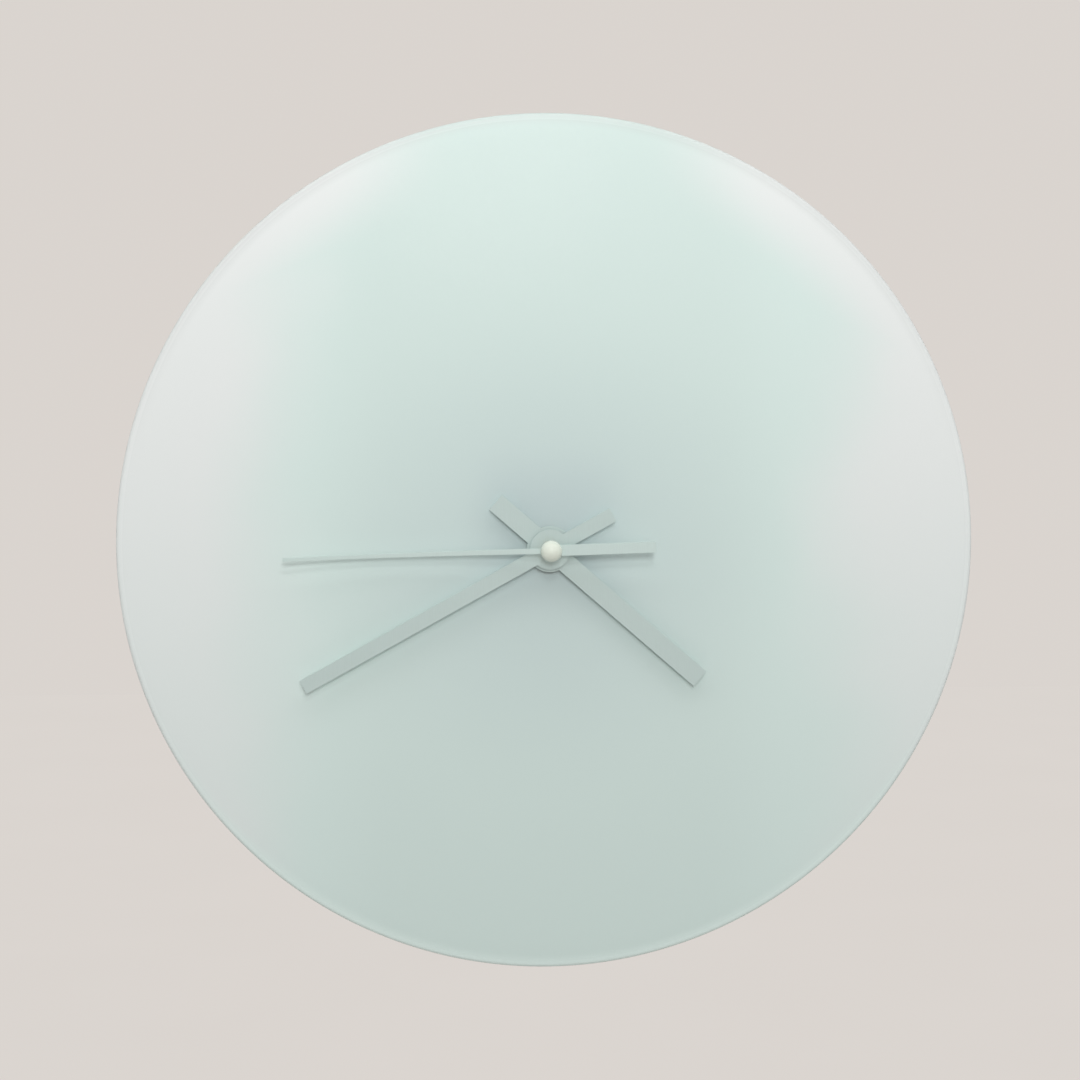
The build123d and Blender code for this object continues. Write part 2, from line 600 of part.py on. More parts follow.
def back_cover():
    """Wall-side cover over the train, with a lip inside the case and bosses for the rear pivots."""
    bottom = PARTITION_TOP + COVER_SEAM
    plate = slab(case_outline(), COVER_BACK, COVER_FRONT)
    plate -= block(-CASE_WIDTH, CASE_WIDTH, CASE_BOTTOM - CASE_WALL, bottom, COVER_BACK, COVER_FRONT)
    outer = CASE_INNER_HALF - COVER_SEAM
    inner = outer - COVER_LIP_THICKNESS
    lip_top = CASE_INNER_TOP - COVER_SEAM
    lip_front = COVER_FRONT + COVER_LIP_HEIGHT
    plate += block(-outer, outer, bottom, lip_top, COVER_FRONT, lip_front)
    plate -= block(
        -inner, inner, bottom + COVER_LIP_THICKNESS, lip_top - COVER_LIP_THICKNESS, COVER_FRONT, lip_front
    )
    for place, front in [
        (AXIS, SECOND_BACK - LAYER_GAP),
        (INTERMEDIATE, INTERMEDIATE_BACK - LAYER_GAP),
        (ROTOR, MAGNET_BACK - PIVOT_END_GAP),
    ]:
        plate += disc(BOSS_DIAMETER, COVER_FRONT, front, place)
        plate -= disc(bore(ARBOR_DIAMETER, RUNNING_GAP), front - PIVOT_DEPTH, front, place)
    plate -= disc(bore(STEM_DIAMETER, RUNNING_GAP), COVER_BACK, COVER_FRONT, SETTING)
    for place in hanger_pegs():
        plate -= disc(
            bore(HANGER_PEG_DIAMETER, SEAT_GAP), COVER_BACK, COVER_BACK + HANGER_PEG_LENGTH + SEAT_GAP, place
        )
    return plate


def hanger_pegs():
    x = HANGER_FOOT_HALF - HANGER_PEG_INSET
    z = CASE_RISE - HANGER_FOOT_HEIGHT / 2
    return [(-x, z), (x, z)]


def hanger_loop():
    """Loop that takes the wall hook, pegged to the rear of the cover."""
    foot_middle = CASE_RISE - HANGER_FOOT_HEIGHT / 2
    neck_height = HANGER_RISE - foot_middle
    outline = Pos(0, foot_middle) * Rectangle(2 * HANGER_FOOT_HALF, HANGER_FOOT_HEIGHT)
    outline += Pos(0, foot_middle + neck_height / 2) * Rectangle(2 * HANGER_HALF, neck_height)
    outline += Pos(0, HANGER_RISE) * Circle(HANGER_HALF)
    loop = slab(outline, 0, COVER_BACK)
    corners = [
        edge for edge in loop.edges().filter_by(Axis.Y)
        if abs(edge.center().Z - CASE_RISE + HANGER_RISE) < SEAT_GAP
        and abs(abs(edge.center().X) - HANGER_HALF) < SEAT_GAP
    ]
    corner_room = FILLET_SHARE * min(HANGER_FOOT_STEP, HANGER_HOLE_RISE)
    loop = fillet(corners, min(HANGER_FILLET, corner_room))
    loop -= disc(HANGER_HOLE_DIAMETER, 0, COVER_BACK, (0, HANGER_RISE))
    for place in hanger_pegs():
        loop += disc(HANGER_PEG_DIAMETER, COVER_BACK, COVER_BACK + HANGER_PEG_LENGTH, place)
    return loop


def train_plate():
    """Plate between the two halves of the train, screwed to the posts of the case."""
    reach = POST_DIAMETER / 2 + PLATE_MARGIN
    left = min(x for x, z in POSTS) - reach
    right = max(x for x, z in POSTS) + reach
    bottom = min(z for x, z in POSTS) - reach
    top = max(z for x, z in POSTS) + reach
    outline = Pos((left + right) / 2, (bottom + top) / 2) * RectangleRounded(
        right - left, top - bottom, PLATE_CORNER_RADIUS
    )
    plate = slab(outline, PLATE_BACK, PLATE_FRONT)
    pinion_way = 2 * tip_radius(SECOND_PINION_TEETH, THIRD_MODULE) + LAYER_GAP
    plate -= disc(pinion_way, PLATE_BACK, PLATE_FRONT)
    for place in (THIRD, INTERMEDIATE, ROTOR):
        plate -= disc(bore(ARBOR_DIAMETER, RUNNING_GAP), PLATE_BACK, PLATE_FRONT, place)
    for place in POSTS:
        plate -= disc(bore(SCREW_DIAMETER, SEAT_GAP), PLATE_BACK, PLATE_FRONT, place)
    return plate


def plate_screws():
    screws = []
    for place in POSTS:
        head_back = PLATE_BACK - SCREW_HEAD_HEIGHT
        screw = disc(SCREW_HEAD_DIAMETER, head_back, PLATE_BACK, place)
        screw += disc(SCREW_DIAMETER, PLATE_BACK, PLATE_FRONT + SCREW_LENGTH - SEAT_GAP, place)
        slot = Rectangle(SCREW_HEAD_DIAMETER, SCREW_SLOT_WIDTH)
        screws.append(screw - slab(slot, head_back, head_back + SCREW_SLOT_DEPTH, place))
    return Compound(children=screws)


# Wheel train

def second_wheel():
    pinion_back = PLATE_FRONT + PIVOT_END_GAP
    wheel = gear(SECOND_TEETH, SECOND_MODULE, SECOND_BACK, SECOND_BACK + WHEEL_THICKNESS)
    wheel += disc(SLEEVE_DIAMETER, SECOND_BACK, pinion_back)
    pinion_front = THIRD_BACK + WHEEL_THICKNESS + PINION_OVERLAP
    wheel += gear(SECOND_PINION_TEETH, THIRD_MODULE, pinion_back, pinion_front)
    return wheel - disc(bore(SECOND_ARBOR_DIAMETER, SEAT_GAP), SECOND_BACK, CENTRE_BACK)


def second_arbor():
    rear = SECOND_BACK - LAYER_GAP - PIVOT_DEPTH + PIVOT_END_GAP
    return disc(SECOND_ARBOR_DIAMETER, rear, SECOND_ARBOR_END)


THIRD_PHASE = meshed_phase(0.0, SECOND_PINION_TEETH, AXIS, THIRD, THIRD_TEETH)
CENTRE_PHASE = meshed_phase(0.0, THIRD_PINION_TEETH, THIRD, AXIS, CENTRE_TEETH)
INTERMEDIATE_PHASE = meshed_phase(0.0, SECOND_TEETH, AXIS, INTERMEDIATE, INTERMEDIATE_PINION_TEETH)
ROTOR_PHASE = meshed_phase(0.0, INTERMEDIATE_TEETH, INTERMEDIATE, ROTOR, ROTOR_TEETH)
MOTION_PHASE = meshed_phase(0.0, CANNON_TEETH, AXIS, MOTION, MOTION_TEETH)
HOUR_PHASE = meshed_phase(0.0, MOTION_PINION_TEETH, MOTION, AXIS, HOUR_TEETH)
SETTING_PHASE = meshed_phase(MOTION_PHASE, MOTION_TEETH, MOTION, SETTING, SETTING_TEETH)


def third_wheel():
    front = THIRD_BACK + WHEEL_THICKNESS
    wheel = gear(THIRD_TEETH, THIRD_MODULE, THIRD_BACK, front, THIRD, THIRD_PHASE)
    pinion_front = CENTRE_BACK + WHEEL_THICKNESS + PINION_OVERLAP
    wheel += gear(THIRD_PINION_TEETH, CENTRE_MODULE, front, pinion_front, THIRD)
    return wheel + disc(ARBOR_DIAMETER, PLATE_BACK, THIRD_BOSS_BACK + PIVOT_DEPTH - PIVOT_END_GAP, THIRD)


def centre_wheel():
    """Minute drive wheel, gripping the minute tube so that the hands can be set."""
    wheel = gear(CENTRE_TEETH, CENTRE_MODULE, CENTRE_BACK, CENTRE_BACK + WHEEL_THICKNESS, AXIS, CENTRE_PHASE)
    return wheel - disc(bore(MINUTE_TUBE_DIAMETER, RUNNING_GAP), CENTRE_BACK, MOTION_BACK)


def minute_tube():
    tube = disc(MINUTE_TUBE_DIAMETER, CENTRE_BACK, MINUTE_TUBE_END)
    tube += gear(CANNON_TEETH, MOTION_MODULE, MOTION_BACK, MOTION_BACK + WHEEL_THICKNESS)
    return tube - disc(bore(SECOND_ARBOR_DIAMETER, RUNNING_GAP), CENTRE_BACK, MINUTE_TUBE_END)


def motion_wheel():
    front = MOTION_BACK + WHEEL_THICKNESS
    pinion_front = HOUR_BACK + WHEEL_THICKNESS + PINION_OVERLAP
    wheel = gear(MOTION_TEETH, MOTION_MODULE, MOTION_BACK, front, MOTION, MOTION_PHASE)
    wheel += gear(MOTION_PINION_TEETH, HOUR_MODULE, front, pinion_front, MOTION)
    return wheel - disc(bore(MOTION_POST_DIAMETER, RUNNING_GAP), MOTION_BACK, FRONT_INNER, MOTION)


def hour_wheel():
    wheel = gear(HOUR_TEETH, HOUR_MODULE, HOUR_BACK, HOUR_BACK + WHEEL_THICKNESS, AXIS, HOUR_PHASE)
    wheel += disc(HOUR_TUBE_DIAMETER, HOUR_BACK, HOUR_TUBE_END)
    return wheel - disc(bore(MINUTE_TUBE_DIAMETER, RUNNING_GAP), HOUR_BACK, HOUR_TUBE_END)


def intermediate_wheel():
    front = INTERMEDIATE_BACK + WHEEL_THICKNESS
    pinion_front = SECOND_BACK + WHEEL_THICKNESS + PINION_OVERLAP
    wheel = gear(INTERMEDIATE_TEETH, ROTOR_MODULE, INTERMEDIATE_BACK, front, INTERMEDIATE)
    wheel += gear(
        INTERMEDIATE_PINION_TEETH, SECOND_MODULE, front, pinion_front, INTERMEDIATE, INTERMEDIATE_PHASE
    )
    rear = INTERMEDIATE_BACK - LAYER_GAP - PIVOT_DEPTH + PIVOT_END_GAP
    return wheel + disc(ARBOR_DIAMETER, rear, PLATE_FRONT, INTERMEDIATE)


def rotor():
    """Rotor arbor with its pinion and the sleeve inside the magnet."""
    pinion_back = INTERMEDIATE_BACK - PINION_OVERLAP
    pinion_front = INTERMEDIATE_BACK + WHEEL_THICKNESS + PINION_OVERLAP
    arbor = gear(ROTOR_TEETH, ROTOR_MODULE, pinion_back, pinion_front, ROTOR, ROTOR_PHASE)
    arbor += disc(SLEEVE_DIAMETER, MAGNET_BACK, pinion_back, ROTOR)
    rear = MAGNET_BACK - PIVOT_DEPTH
    return arbor + disc(ARBOR_DIAMETER, rear, PLATE_FRONT, ROTOR)


def rotor_magnet():
    hole = Circle(bore(SLEEVE_DIAMETER, SEAT_GAP) / 2)
    return slab(Circle(MAGNET_DIAMETER / 2) - hole, MAGNET_BACK, MAGNET_BACK + MAGNET_LENGTH, ROTOR)


def setting_stem():
    pinion_back = MOTION_BACK - PINION_OVERLAP
    pinion_front = MOTION_BACK + WHEEL_THICKNESS + PINION_OVERLAP
    stem = disc(STEM_DIAMETER, STEM_END, pinion_back, SETTING)
    stem += gear(SETTING_TEETH, MOTION_MODULE, pinion_back, pinion_front, SETTING, SETTING_PHASE)
    return stem + disc(STEM_PIVOT_DIAMETER, pinion_front, STEM_PIVOT_END - PIVOT_END_GAP, SETTING)


def setting_knob():
    outline = Circle(KNOB_DIAMETER / 2)
    outline -= PolarLocations(KNOB_DIAMETER / 2, KNOB_FLUTES) * Circle(KNOB_FLUTE_DIAMETER / 2)
    knob = slab(outline, KNOB_BACK, KNOB_FRONT, SETTING)
    return knob - disc(bore(STEM_DIAMETER, SEAT_GAP), STEM_END - SEAT_GAP, KNOB_FRONT, SETTING)


# Motor and circuit

def stator():
    """Iron frame round the magnet, with two legs up to the ends of the coil core."""
    half = MAGNET_DIAMETER / 2 + STATOR_AIR_GAP + STATOR_RIM
    x, z = ROTOR
    outer = LEG_X + STATOR_LEG_WIDTH / 2
    frame = block(x - outer, x + outer, z - half, z + half, STATOR_BACK, CORE_BACK)
    for x, z in LEGS:
        edge = STATOR_LEG_WIDTH / 2
        frame += block(x - edge, x + edge, ROTOR[1], z + CORE_WIDTH, STATOR_BACK, CORE_BACK)
        frame -= disc(bore(PEG_DIAMETER, SEAT_GAP), STATOR_BACK, CORE_BACK, (x, z))
    return frame - disc(MAGNET_DIAMETER + 2 * STATOR_AIR_GAP, STATOR_BACK, CORE_BACK, ROTOR)


def coil_core():
    outer = LEG_X + STATOR_LEG_WIDTH / 2
    half = CORE_WIDTH / 2
    core = block(ROTOR[0] - outer, ROTOR[0] + outer, COIL_Z - half, COIL_Z + half, CORE_BACK, CORE_FRONT)
    for place in LEGS:
        core -= disc(bore(PEG_DIAMETER, SEAT_GAP), CORE_BACK, CORE_FRONT, place)
    return core


def coil_plane(x):
    """Plane across the coil, facing to the right."""
    return Plane(origin=(x, -CORE_CENTRE, COIL_Z - HANGER_RISE), x_dir=(0, 1, 0), z_dir=(1, 0, 0))


def bobbin_section(margin):
    return Rectangle(CORE_THICKNESS + 2 * margin, CORE_WIDTH + 2 * margin)


def coil_bobbin():
    left = ROTOR[0] - COIL_LENGTH / 2
    inner = bobbin_section(SEAT_GAP)
    bobbin = extrude(coil_plane(left) * bobbin_section(SEAT_GAP + BOBBIN_WALL), COIL_LENGTH)
    for x in (left, left + COIL_LENGTH - COIL_FLANGE_THICKNESS):
        bobbin += extrude(coil_plane(x) * Circle(COIL_FLANGE_DIAMETER / 2), COIL_FLANGE_THICKNESS)
    return bobbin - extrude(coil_plane(left) * inner, COIL_LENGTH)


def coil_winding():
    left = ROTOR[0] - COIL_LENGTH / 2 + COIL_FLANGE_THICKNESS
    section = Circle(COIL_DIAMETER / 2) - bobbin_section(2 * SEAT_GAP + BOBBIN_WALL)
    return extrude(coil_plane(left) * section, COIL_LENGTH - 2 * COIL_FLANGE_THICKNESS)


def circuit_board():
    board = block(BOARD_LEFT, BOARD_RIGHT, BOARD_BOTTOM, BOARD_TOP, BOARD_BACK, BOARD_FRONT)
    for place in BOARD_PEGS:
        board -= disc(bore(PEG_DIAMETER, SEAT_GAP), BOARD_BACK, BOARD_FRONT, place)
    return board


BOARD_MIDDLE = ((BOARD_LEFT + BOARD_RIGHT) / 2, (BOARD_BOTTOM + BOARD_TOP) / 2)


def clock_chip():
    """Round sealing drop over the chip: the cap of a sphere on the wall side of the board."""
    radius = CHIP_DIAMETER / 2
    sphere_radius = (radius**2 + CHIP_HEIGHT**2) / (2 * CHIP_HEIGHT)
    place = (BOARD_MIDDLE[0] - CHIP_DIAMETER / 2, BOARD_MIDDLE[1])
    ball = dial_plane(BOARD_BACK - CHIP_HEIGHT + sphere_radius, place) * Sphere(sphere_radius)
    return ball - disc(3 * CHIP_DIAMETER, BOARD_BACK, BOARD_BACK + 2 * sphere_radius, place)


def quartz_crystal():
    origin = (
        BOARD_MIDDLE[0] + CHIP_DIAMETER / 2 + CRYSTAL_DIAMETER,
        -(BOARD_BACK - CRYSTAL_DIAMETER / 2 - SEAT_GAP),
        BOARD_MIDDLE[1] - CRYSTAL_LENGTH / 2 - HANGER_RISE,
    )
    return extrude(Plane(origin=origin, z_dir=(0, 0, 1)) * Circle(CRYSTAL_DIAMETER / 2), CRYSTAL_LENGTH)


# Battery and its contacts

def battery_cell():
    left = -BATTERY_LENGTH / 2
    origin = (left, -BATTERY_FORWARD, BATTERY_Z - HANGER_RISE)
    end = Plane(origin=origin, z_dir=(1, 0, 0))
    can = extrude(end * Circle(BATTERY_DIAMETER / 2), BATTERY_LENGTH - BATTERY_BUTTON_LENGTH)
    can = fillet(can.edges().filter_by(GeomType.CIRCLE), BATTERY_EDGE_RADIUS)
    return can + extrude(end * Circle(BATTERY_BUTTON_DIAMETER / 2), BATTERY_LENGTH)


def contact_leaf(side):
    """Plate against the end wall of the bay with a bowed leaf that meets the battery."""
    wall = CASE_INNER_HALF
    face = wall - CONTACT_THICKNESS
    tip = BATTERY_LENGTH / 2 + CONTACT_GAP
    half = CONTACT_HEIGHT / 2
    back = BATTERY_FORWARD - CONTACT_WIDTH / 2
    front = back + CONTACT_WIDTH
    inner_half = half * (1 - CONTACT_THICKNESS / (face - tip))
    outer_bow = [(face, half), (tip, 0), (face, -half)]
    inner_bow = [(face, -inner_half), (tip + CONTACT_THICKNESS, 0), (face, inner_half)]
    leaf = outer_bow + inner_bow
    if side < 0:
        leaf.reverse()
    bow = Pos(0, BATTERY_Z) * Polygon(*[(side * x, z) for x, z in leaf], align=None)
    low, high = sorted((side * face, side * wall))
    return block(low, high, BATTERY_Z - half, BATTERY_Z + half, back, front) + slab(bow, back, front)


def wall_strip(bottom, top, back):
    """Strip up the left wall of the case."""
    return block(
        -CASE_INNER_HALF, -CASE_INNER_HALF + CONTACT_THICKNESS, bottom, top, back, back + STRIP_WIDTH
    )


def board_tab(bottom, back):
    """End of a strip, turned over the wall side of the board."""
    wall = -CASE_INNER_HALF
    top = bottom + CONTACT_TAB
    riser = block(wall, wall + CONTACT_THICKNESS, bottom, top, back, BOARD_BACK)
    return riser + block(
        wall, BOARD_LEFT + CONTACT_TAB, bottom, top, BOARD_BACK - CONTACT_THICKNESS, BOARD_BACK
    )


NEGATIVE_STRIP_BACK = BATTERY_FORWARD + CONTACT_WIDTH / 2 - STRIP_WIDTH
POSITIVE_STRIP_BACK = BATTERY_FORWARD - CONTACT_WIDTH / 2 + LAYER_GAP
NEGATIVE_TAB_BOTTOM = BOARD_BOTTOM + PLATE_MARGIN
POSITIVE_TAB_BOTTOM = BOARD_TOP - PLATE_MARGIN - CONTACT_TAB


def negative_contact():
    contact = contact_leaf(-1) + wall_strip(BATTERY_Z, NEGATIVE_TAB_BOTTOM + CONTACT_TAB, NEGATIVE_STRIP_BACK)
    return contact + board_tab(NEGATIVE_TAB_BOTTOM, NEGATIVE_STRIP_BACK)


def positive_contact():
    """Contact at the button end, with its strip along the bay wall and up to the board."""
    front = POSITIVE_STRIP_BACK + STRIP_WIDTH
    wall = CASE_INNER_HALF
    top = PARTITION_TOP + CONTACT_THICKNESS
    contact = contact_leaf(1)
    contact += block(wall - CONTACT_THICKNESS, wall, BATTERY_Z, top, POSITIVE_STRIP_BACK, front)
    contact += block(-wall, wall, PARTITION_TOP, top, POSITIVE_STRIP_BACK, front)
    contact += wall_strip(PARTITION_TOP, POSITIVE_TAB_BOTTOM + CONTACT_TAB, POSITIVE_STRIP_BACK)
    return contact + board_tab(POSITIVE_TAB_BOTTOM, POSITIVE_STRIP_BACK)


PIECES = [
    glass_dial, rubber_gasket, dial_washer, fixing_nut, threaded_bush,
    hour_hand, hour_collet, minute_hand, minute_collet, hand_nut, second_hand, second_socket, centre_cap,
    movement_case, back_cover, hanger_loop, train_plate, plate_screws,
    second_wheel, second_arbor, third_wheel, centre_wheel, minute_tube, motion_wheel, hour_wheel,
    intermediate_wheel, rotor, rotor_magnet, setting_stem, setting_knob,
    stator, coil_core, coil_bobbin, coil_winding, circuit_board, clock_chip, quartz_crystal,
    battery_cell, negative_contact, positive_contact,
]

os.makedirs("parts", exist_ok=True)
for piece in PIECES:
    save(piece.__name__, piece())
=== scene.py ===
import json
import math

import bpy
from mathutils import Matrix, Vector

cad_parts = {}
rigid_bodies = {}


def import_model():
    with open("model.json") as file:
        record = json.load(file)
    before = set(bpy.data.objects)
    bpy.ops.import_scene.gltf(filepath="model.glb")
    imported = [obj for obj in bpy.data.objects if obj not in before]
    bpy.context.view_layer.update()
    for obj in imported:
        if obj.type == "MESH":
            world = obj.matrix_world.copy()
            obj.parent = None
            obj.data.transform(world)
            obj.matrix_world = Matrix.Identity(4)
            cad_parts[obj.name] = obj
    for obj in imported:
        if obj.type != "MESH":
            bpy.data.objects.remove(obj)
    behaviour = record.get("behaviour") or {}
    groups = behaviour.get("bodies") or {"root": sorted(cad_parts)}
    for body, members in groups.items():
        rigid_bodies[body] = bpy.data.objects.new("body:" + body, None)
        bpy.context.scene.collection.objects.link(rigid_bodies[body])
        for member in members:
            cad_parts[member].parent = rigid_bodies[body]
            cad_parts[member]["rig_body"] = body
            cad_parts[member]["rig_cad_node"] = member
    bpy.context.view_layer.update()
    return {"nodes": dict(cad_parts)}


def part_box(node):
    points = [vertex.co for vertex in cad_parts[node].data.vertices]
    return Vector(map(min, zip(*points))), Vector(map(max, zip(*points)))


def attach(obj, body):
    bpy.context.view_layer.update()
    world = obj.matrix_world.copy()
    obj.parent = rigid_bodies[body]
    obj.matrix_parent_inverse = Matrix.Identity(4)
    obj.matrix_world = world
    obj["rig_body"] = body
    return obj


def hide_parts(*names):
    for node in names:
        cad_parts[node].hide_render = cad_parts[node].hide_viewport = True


bl_info = {
    "name": "Frosted Glass Wall Clock",
    "version": (1, 0, 0),
    "blender": (4, 5, 0),
    "location": "View3D > Sidebar > Clock",
    "description": "Dresses a round glass wall clock and its quartz movement",
    "category": "Object",
}

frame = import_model()

# The dial's axis runs along Y. Depths are distances forward of the wall, so y is minus the depth.
GLASS_LOW, GLASS_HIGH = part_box("glass_dial")
AXIS = Vector(((GLASS_LOW.x + GLASS_HIGH.x) / 2, 0, (GLASS_LOW.z + GLASS_HIGH.z) / 2))
GLASS_FRONT, GLASS_BACK = -GLASS_LOW.y, -GLASS_HIGH.y
ORIGIN = Vector((0, 0, 0))
MM = 0.001
SMOOTH_ANGLE = math.radians(40)
BEVEL_ANGLE = math.radians(35)
FLAT_ANGLE = math.radians(1)
MERGE_GAP = 0.000002
# Radius that stands for a point on the axis, where a turned profile ends
POINT = 0.00002
# Width by which the shoulder of a collet or socket stands out from its neck
COLLET_SHOULDER = 1.0 * MM


def depth_of(node):
    """Depths of a node's wall side and dial side."""
    low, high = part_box(node)
    return -high.y, -low.y


def radius_of(node):
    """Half of a round node's width."""
    low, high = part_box(node)
    return (high.x - low.x) / 2


# Sizes and colours that a user would change

def length(name, description, default):
    return bpy.props.FloatProperty(
        name=name, description=description, default=default, min=0, unit="LENGTH"
    )


def place(name, description, default):
    return bpy.props.FloatVectorProperty(name=name, description=description, default=default, unit="LENGTH")


def angle(name, description, degrees):
    return bpy.props.FloatProperty(
        name=name, description=description, default=math.radians(degrees), subtype="ANGLE"
    )


def colour(name, description, default):
    return bpy.props.FloatVectorProperty(
        name=name, description=description, default=default, min=0, max=1, subtype="COLOR"
    )


def power(name, description, default):
    return bpy.props.FloatProperty(
        name=name, description=description, default=default, min=0, unit="POWER"
    )


class ClockDialSettings(bpy.types.PropertyGroup):
    """The glass disc."""
    radius: length("Radius", "Radius of the glass", radius_of("glass_dial"))
    hole: length("Hole", "Radius of the centre hole", 0.00425)
    edge: length("Edge", "Radius of the polished edge", 0.0014)
    soft_band: length("Softened band", "Width of the softened margin", 0.009)
    soft_drop: length("Softened drop", "How far the margin falls away", 0.00012)
    mint: colour("Mint", "Tint of the middle of the dial", (0.640, 0.765, 0.728))
    # The middle band is painted darker than the pale band beside it: a painted shade.
    pale: colour("Pale", "Tint beside the middle", (0.668, 0.797, 0.760))
    # This tint is the back's own colour; on the front it is painted reflection that whitens the sides and
    # upper shoulders.
    white: colour("White", "Tint towards the sides", (0.785, 0.815, 0.805))
    shade: colour("Shade", "Tint over the movement", (0.527, 0.636, 0.636))
    # Painted light: the margin below is painted lighter.
    low_margin: colour("Low margin", "Tint of the margin below", (0.735, 0.862, 0.822))
    # Painted shade: the margin above is painted darker.
    high_margin: colour("High margin", "Tint of the margin above", (0.55, 0.57, 0.56))
    glass_edge: colour("Glass edge", "Green of the polished edge", (0.47, 0.66, 0.59))


class ClockHandSettings(bpy.types.PropertyGroup):
    """The three hands."""
    hour_reach: length("Hour reach", "Axis to the tip of the hour hand", 0.070)
    hour_tail: length("Hour tail", "Axis to the tail of the hour hand", 0.025)
    hour_width: length("Hour width", "Width of the hour hand", 0.0068)
    hour_boss: length("Hour boss", "Radius of the hour hand's boss", 0.008)
    hour_angle: angle("Hour angle", "Clockwise from twelve", 131.0)
    minute_reach: length("Minute reach", "Axis to the tip of the minute hand", 0.098)
    minute_tail: length("Minute tail", "Axis to the tail of the minute hand", 0.025)
    minute_width: length("Minute width", "Width of the minute hand", 0.0051)
    minute_boss: length("Minute boss", "Radius of the minute hand's boss", 0.007)
    minute_angle: angle("Minute angle", "Clockwise from twelve", 241.0)
    second_reach: length("Second reach", "Axis to the tip of the second hand", 0.092)
    second_tail: length("Second tail", "Axis to the tail of the second hand", 0.0362)
    second_tail_width: length("Second tail width", "Width of the second hand's tail", 0.0038)
    second_root: length("Second root", "Width of the second hand's arm at the axis", 0.0019)
    second_tip: length("Second tip", "Width of the second hand's arm at the tip", 0.0012)
    second_boss: length("Second boss", "Radius of the second hand's boss", 0.0032)
    second_angle: angle("Second angle", "Clockwise from twelve", 268.2)
    second_thickness: length("Second thickness", "Thickness of the second hand", 0.0005)
    second_bend: length("Second bend", "Axis to the place where the second hand's arm bends", 0.006)
    second_sag: length("Second sag", "How far the second hand's arm bows towards the glass", 0.0039)
    second_tip_sag: length("Second tip sag", "How far the second hand's tip lies nearer the glass", 0.0012)
    edge: length("Edge", "Rounding of the stamped edges", 0.00016)
    silver: colour("Silver", "Satin silver of the hour and minute hands", (0.588, 0.708, 0.689))
    bright: colour("Bright", "Bright silver of the second hand", (0.648, 0.778, 0.753))
    ivory: colour("Ivory", "Gloss ivory of the ball cap", (0.81, 0.865, 0.76))


class ClockMovementSettings(bpy.types.PropertyGroup):
    """The quartz movement behind the dial."""
    edge: length("Edge", "Rounding of the moulded edges", 0.00025)
    black: colour("Black", "Moulded plastic of the case", (0.022, 0.022, 0.024))
    wheel: colour("Wheel", "Moulded plastic of the wheels", (0.78, 0.73, 0.60))
    brass: colour("Brass", "Turned brass", (0.72, 0.53, 0.25))
    sleeve: colour("Sleeve", "Plain sleeve of the battery", (0.50, 0.53, 0.56))
    band: colour("Band", "Band at the button end of the battery", (0.10, 0.16, 0.24))
    signs: colour("Signs", "Paint on the raised signs", (0.52, 0.53, 0.52))


class ClockStageSettings(bpy.types.PropertyGroup):
    """Camera, lamps and surroundings."""
    camera_distance: length("Camera distance", "Camera to the point that it looks at", 0.6)
    camera_azimuth: angle("Camera azimuth", "Turn of the camera to the right of the dial's axis", -3.05)
    camera_elevation: angle("Camera elevation", "Rise of the camera above the dial's axis", 4.55)
    camera_lens: bpy.props.FloatProperty(
        name="Lens", description="Focal length", default=57.26, min=1, unit="CAMERA"
    )
    camera_aim: place("Camera aim", "Point looked at, from the middle of the dial", (-0.0033, 0.0, 0.00296))
    key_power: power("Key", "Power of the lamp in front of the dial", 4.15)
    high_power: power("High", "Power of the lamp higher up", 0.6)
    side_power: power("Sides", "Power of each lamp beside the dial", 0.089)
    top_power: power("Top", "Power of the lamp over the dial", 0.60)
    low_power: power("Low", "Power of the lamp below the dial", 0.10)
    rear_power: power("Rear", "Power of the stronger lamp behind the clock", 6.5)
    sheen_power: power("Sheen", "Power of the lamp that the dial hides from the camera", 0.6)
    ambient: bpy.props.FloatProperty(
        name="Ambient", description="Light from all round", default=0.30, min=0
    )
    backdrop: colour("Backdrop", "Pale surroundings", (0.70, 0.66, 0.625))


# Shader maths

class Value:
    """A shader socket. Arithmetic on it adds Math nodes."""

    def __init__(self, graph, socket):
        self.graph = graph
        self.socket = socket

    def math(self, operation, *values):
        return self.graph.node("ShaderNodeMath", {"operation": operation}, *values)

    def __add__(self, other):
        return self.math("ADD", self, other)

    def __sub__(self, other):
        return self.math("SUBTRACT", self, other)

    def __rsub__(self, other):
        return self.math("SUBTRACT", other, self)

    def __mul__(self, other):
        return self.math("MULTIPLY", self, other)

    def __pow__(self, other):
        return self.math("POWER", self, other)

    def __abs__(self):
        return self.math("ABSOLUTE", self)

    def __or__(self, other):
        return self.math("MAXIMUM", self, other)

    __radd__ = __add__

    def step(self, low, high):
        """Smooth rise from 0 at low to 1 at high."""
        settings = {"interpolation_type": "SMOOTHSTEP"}
        return self.graph.node("ShaderNodeMapRange", settings, self, low, high)


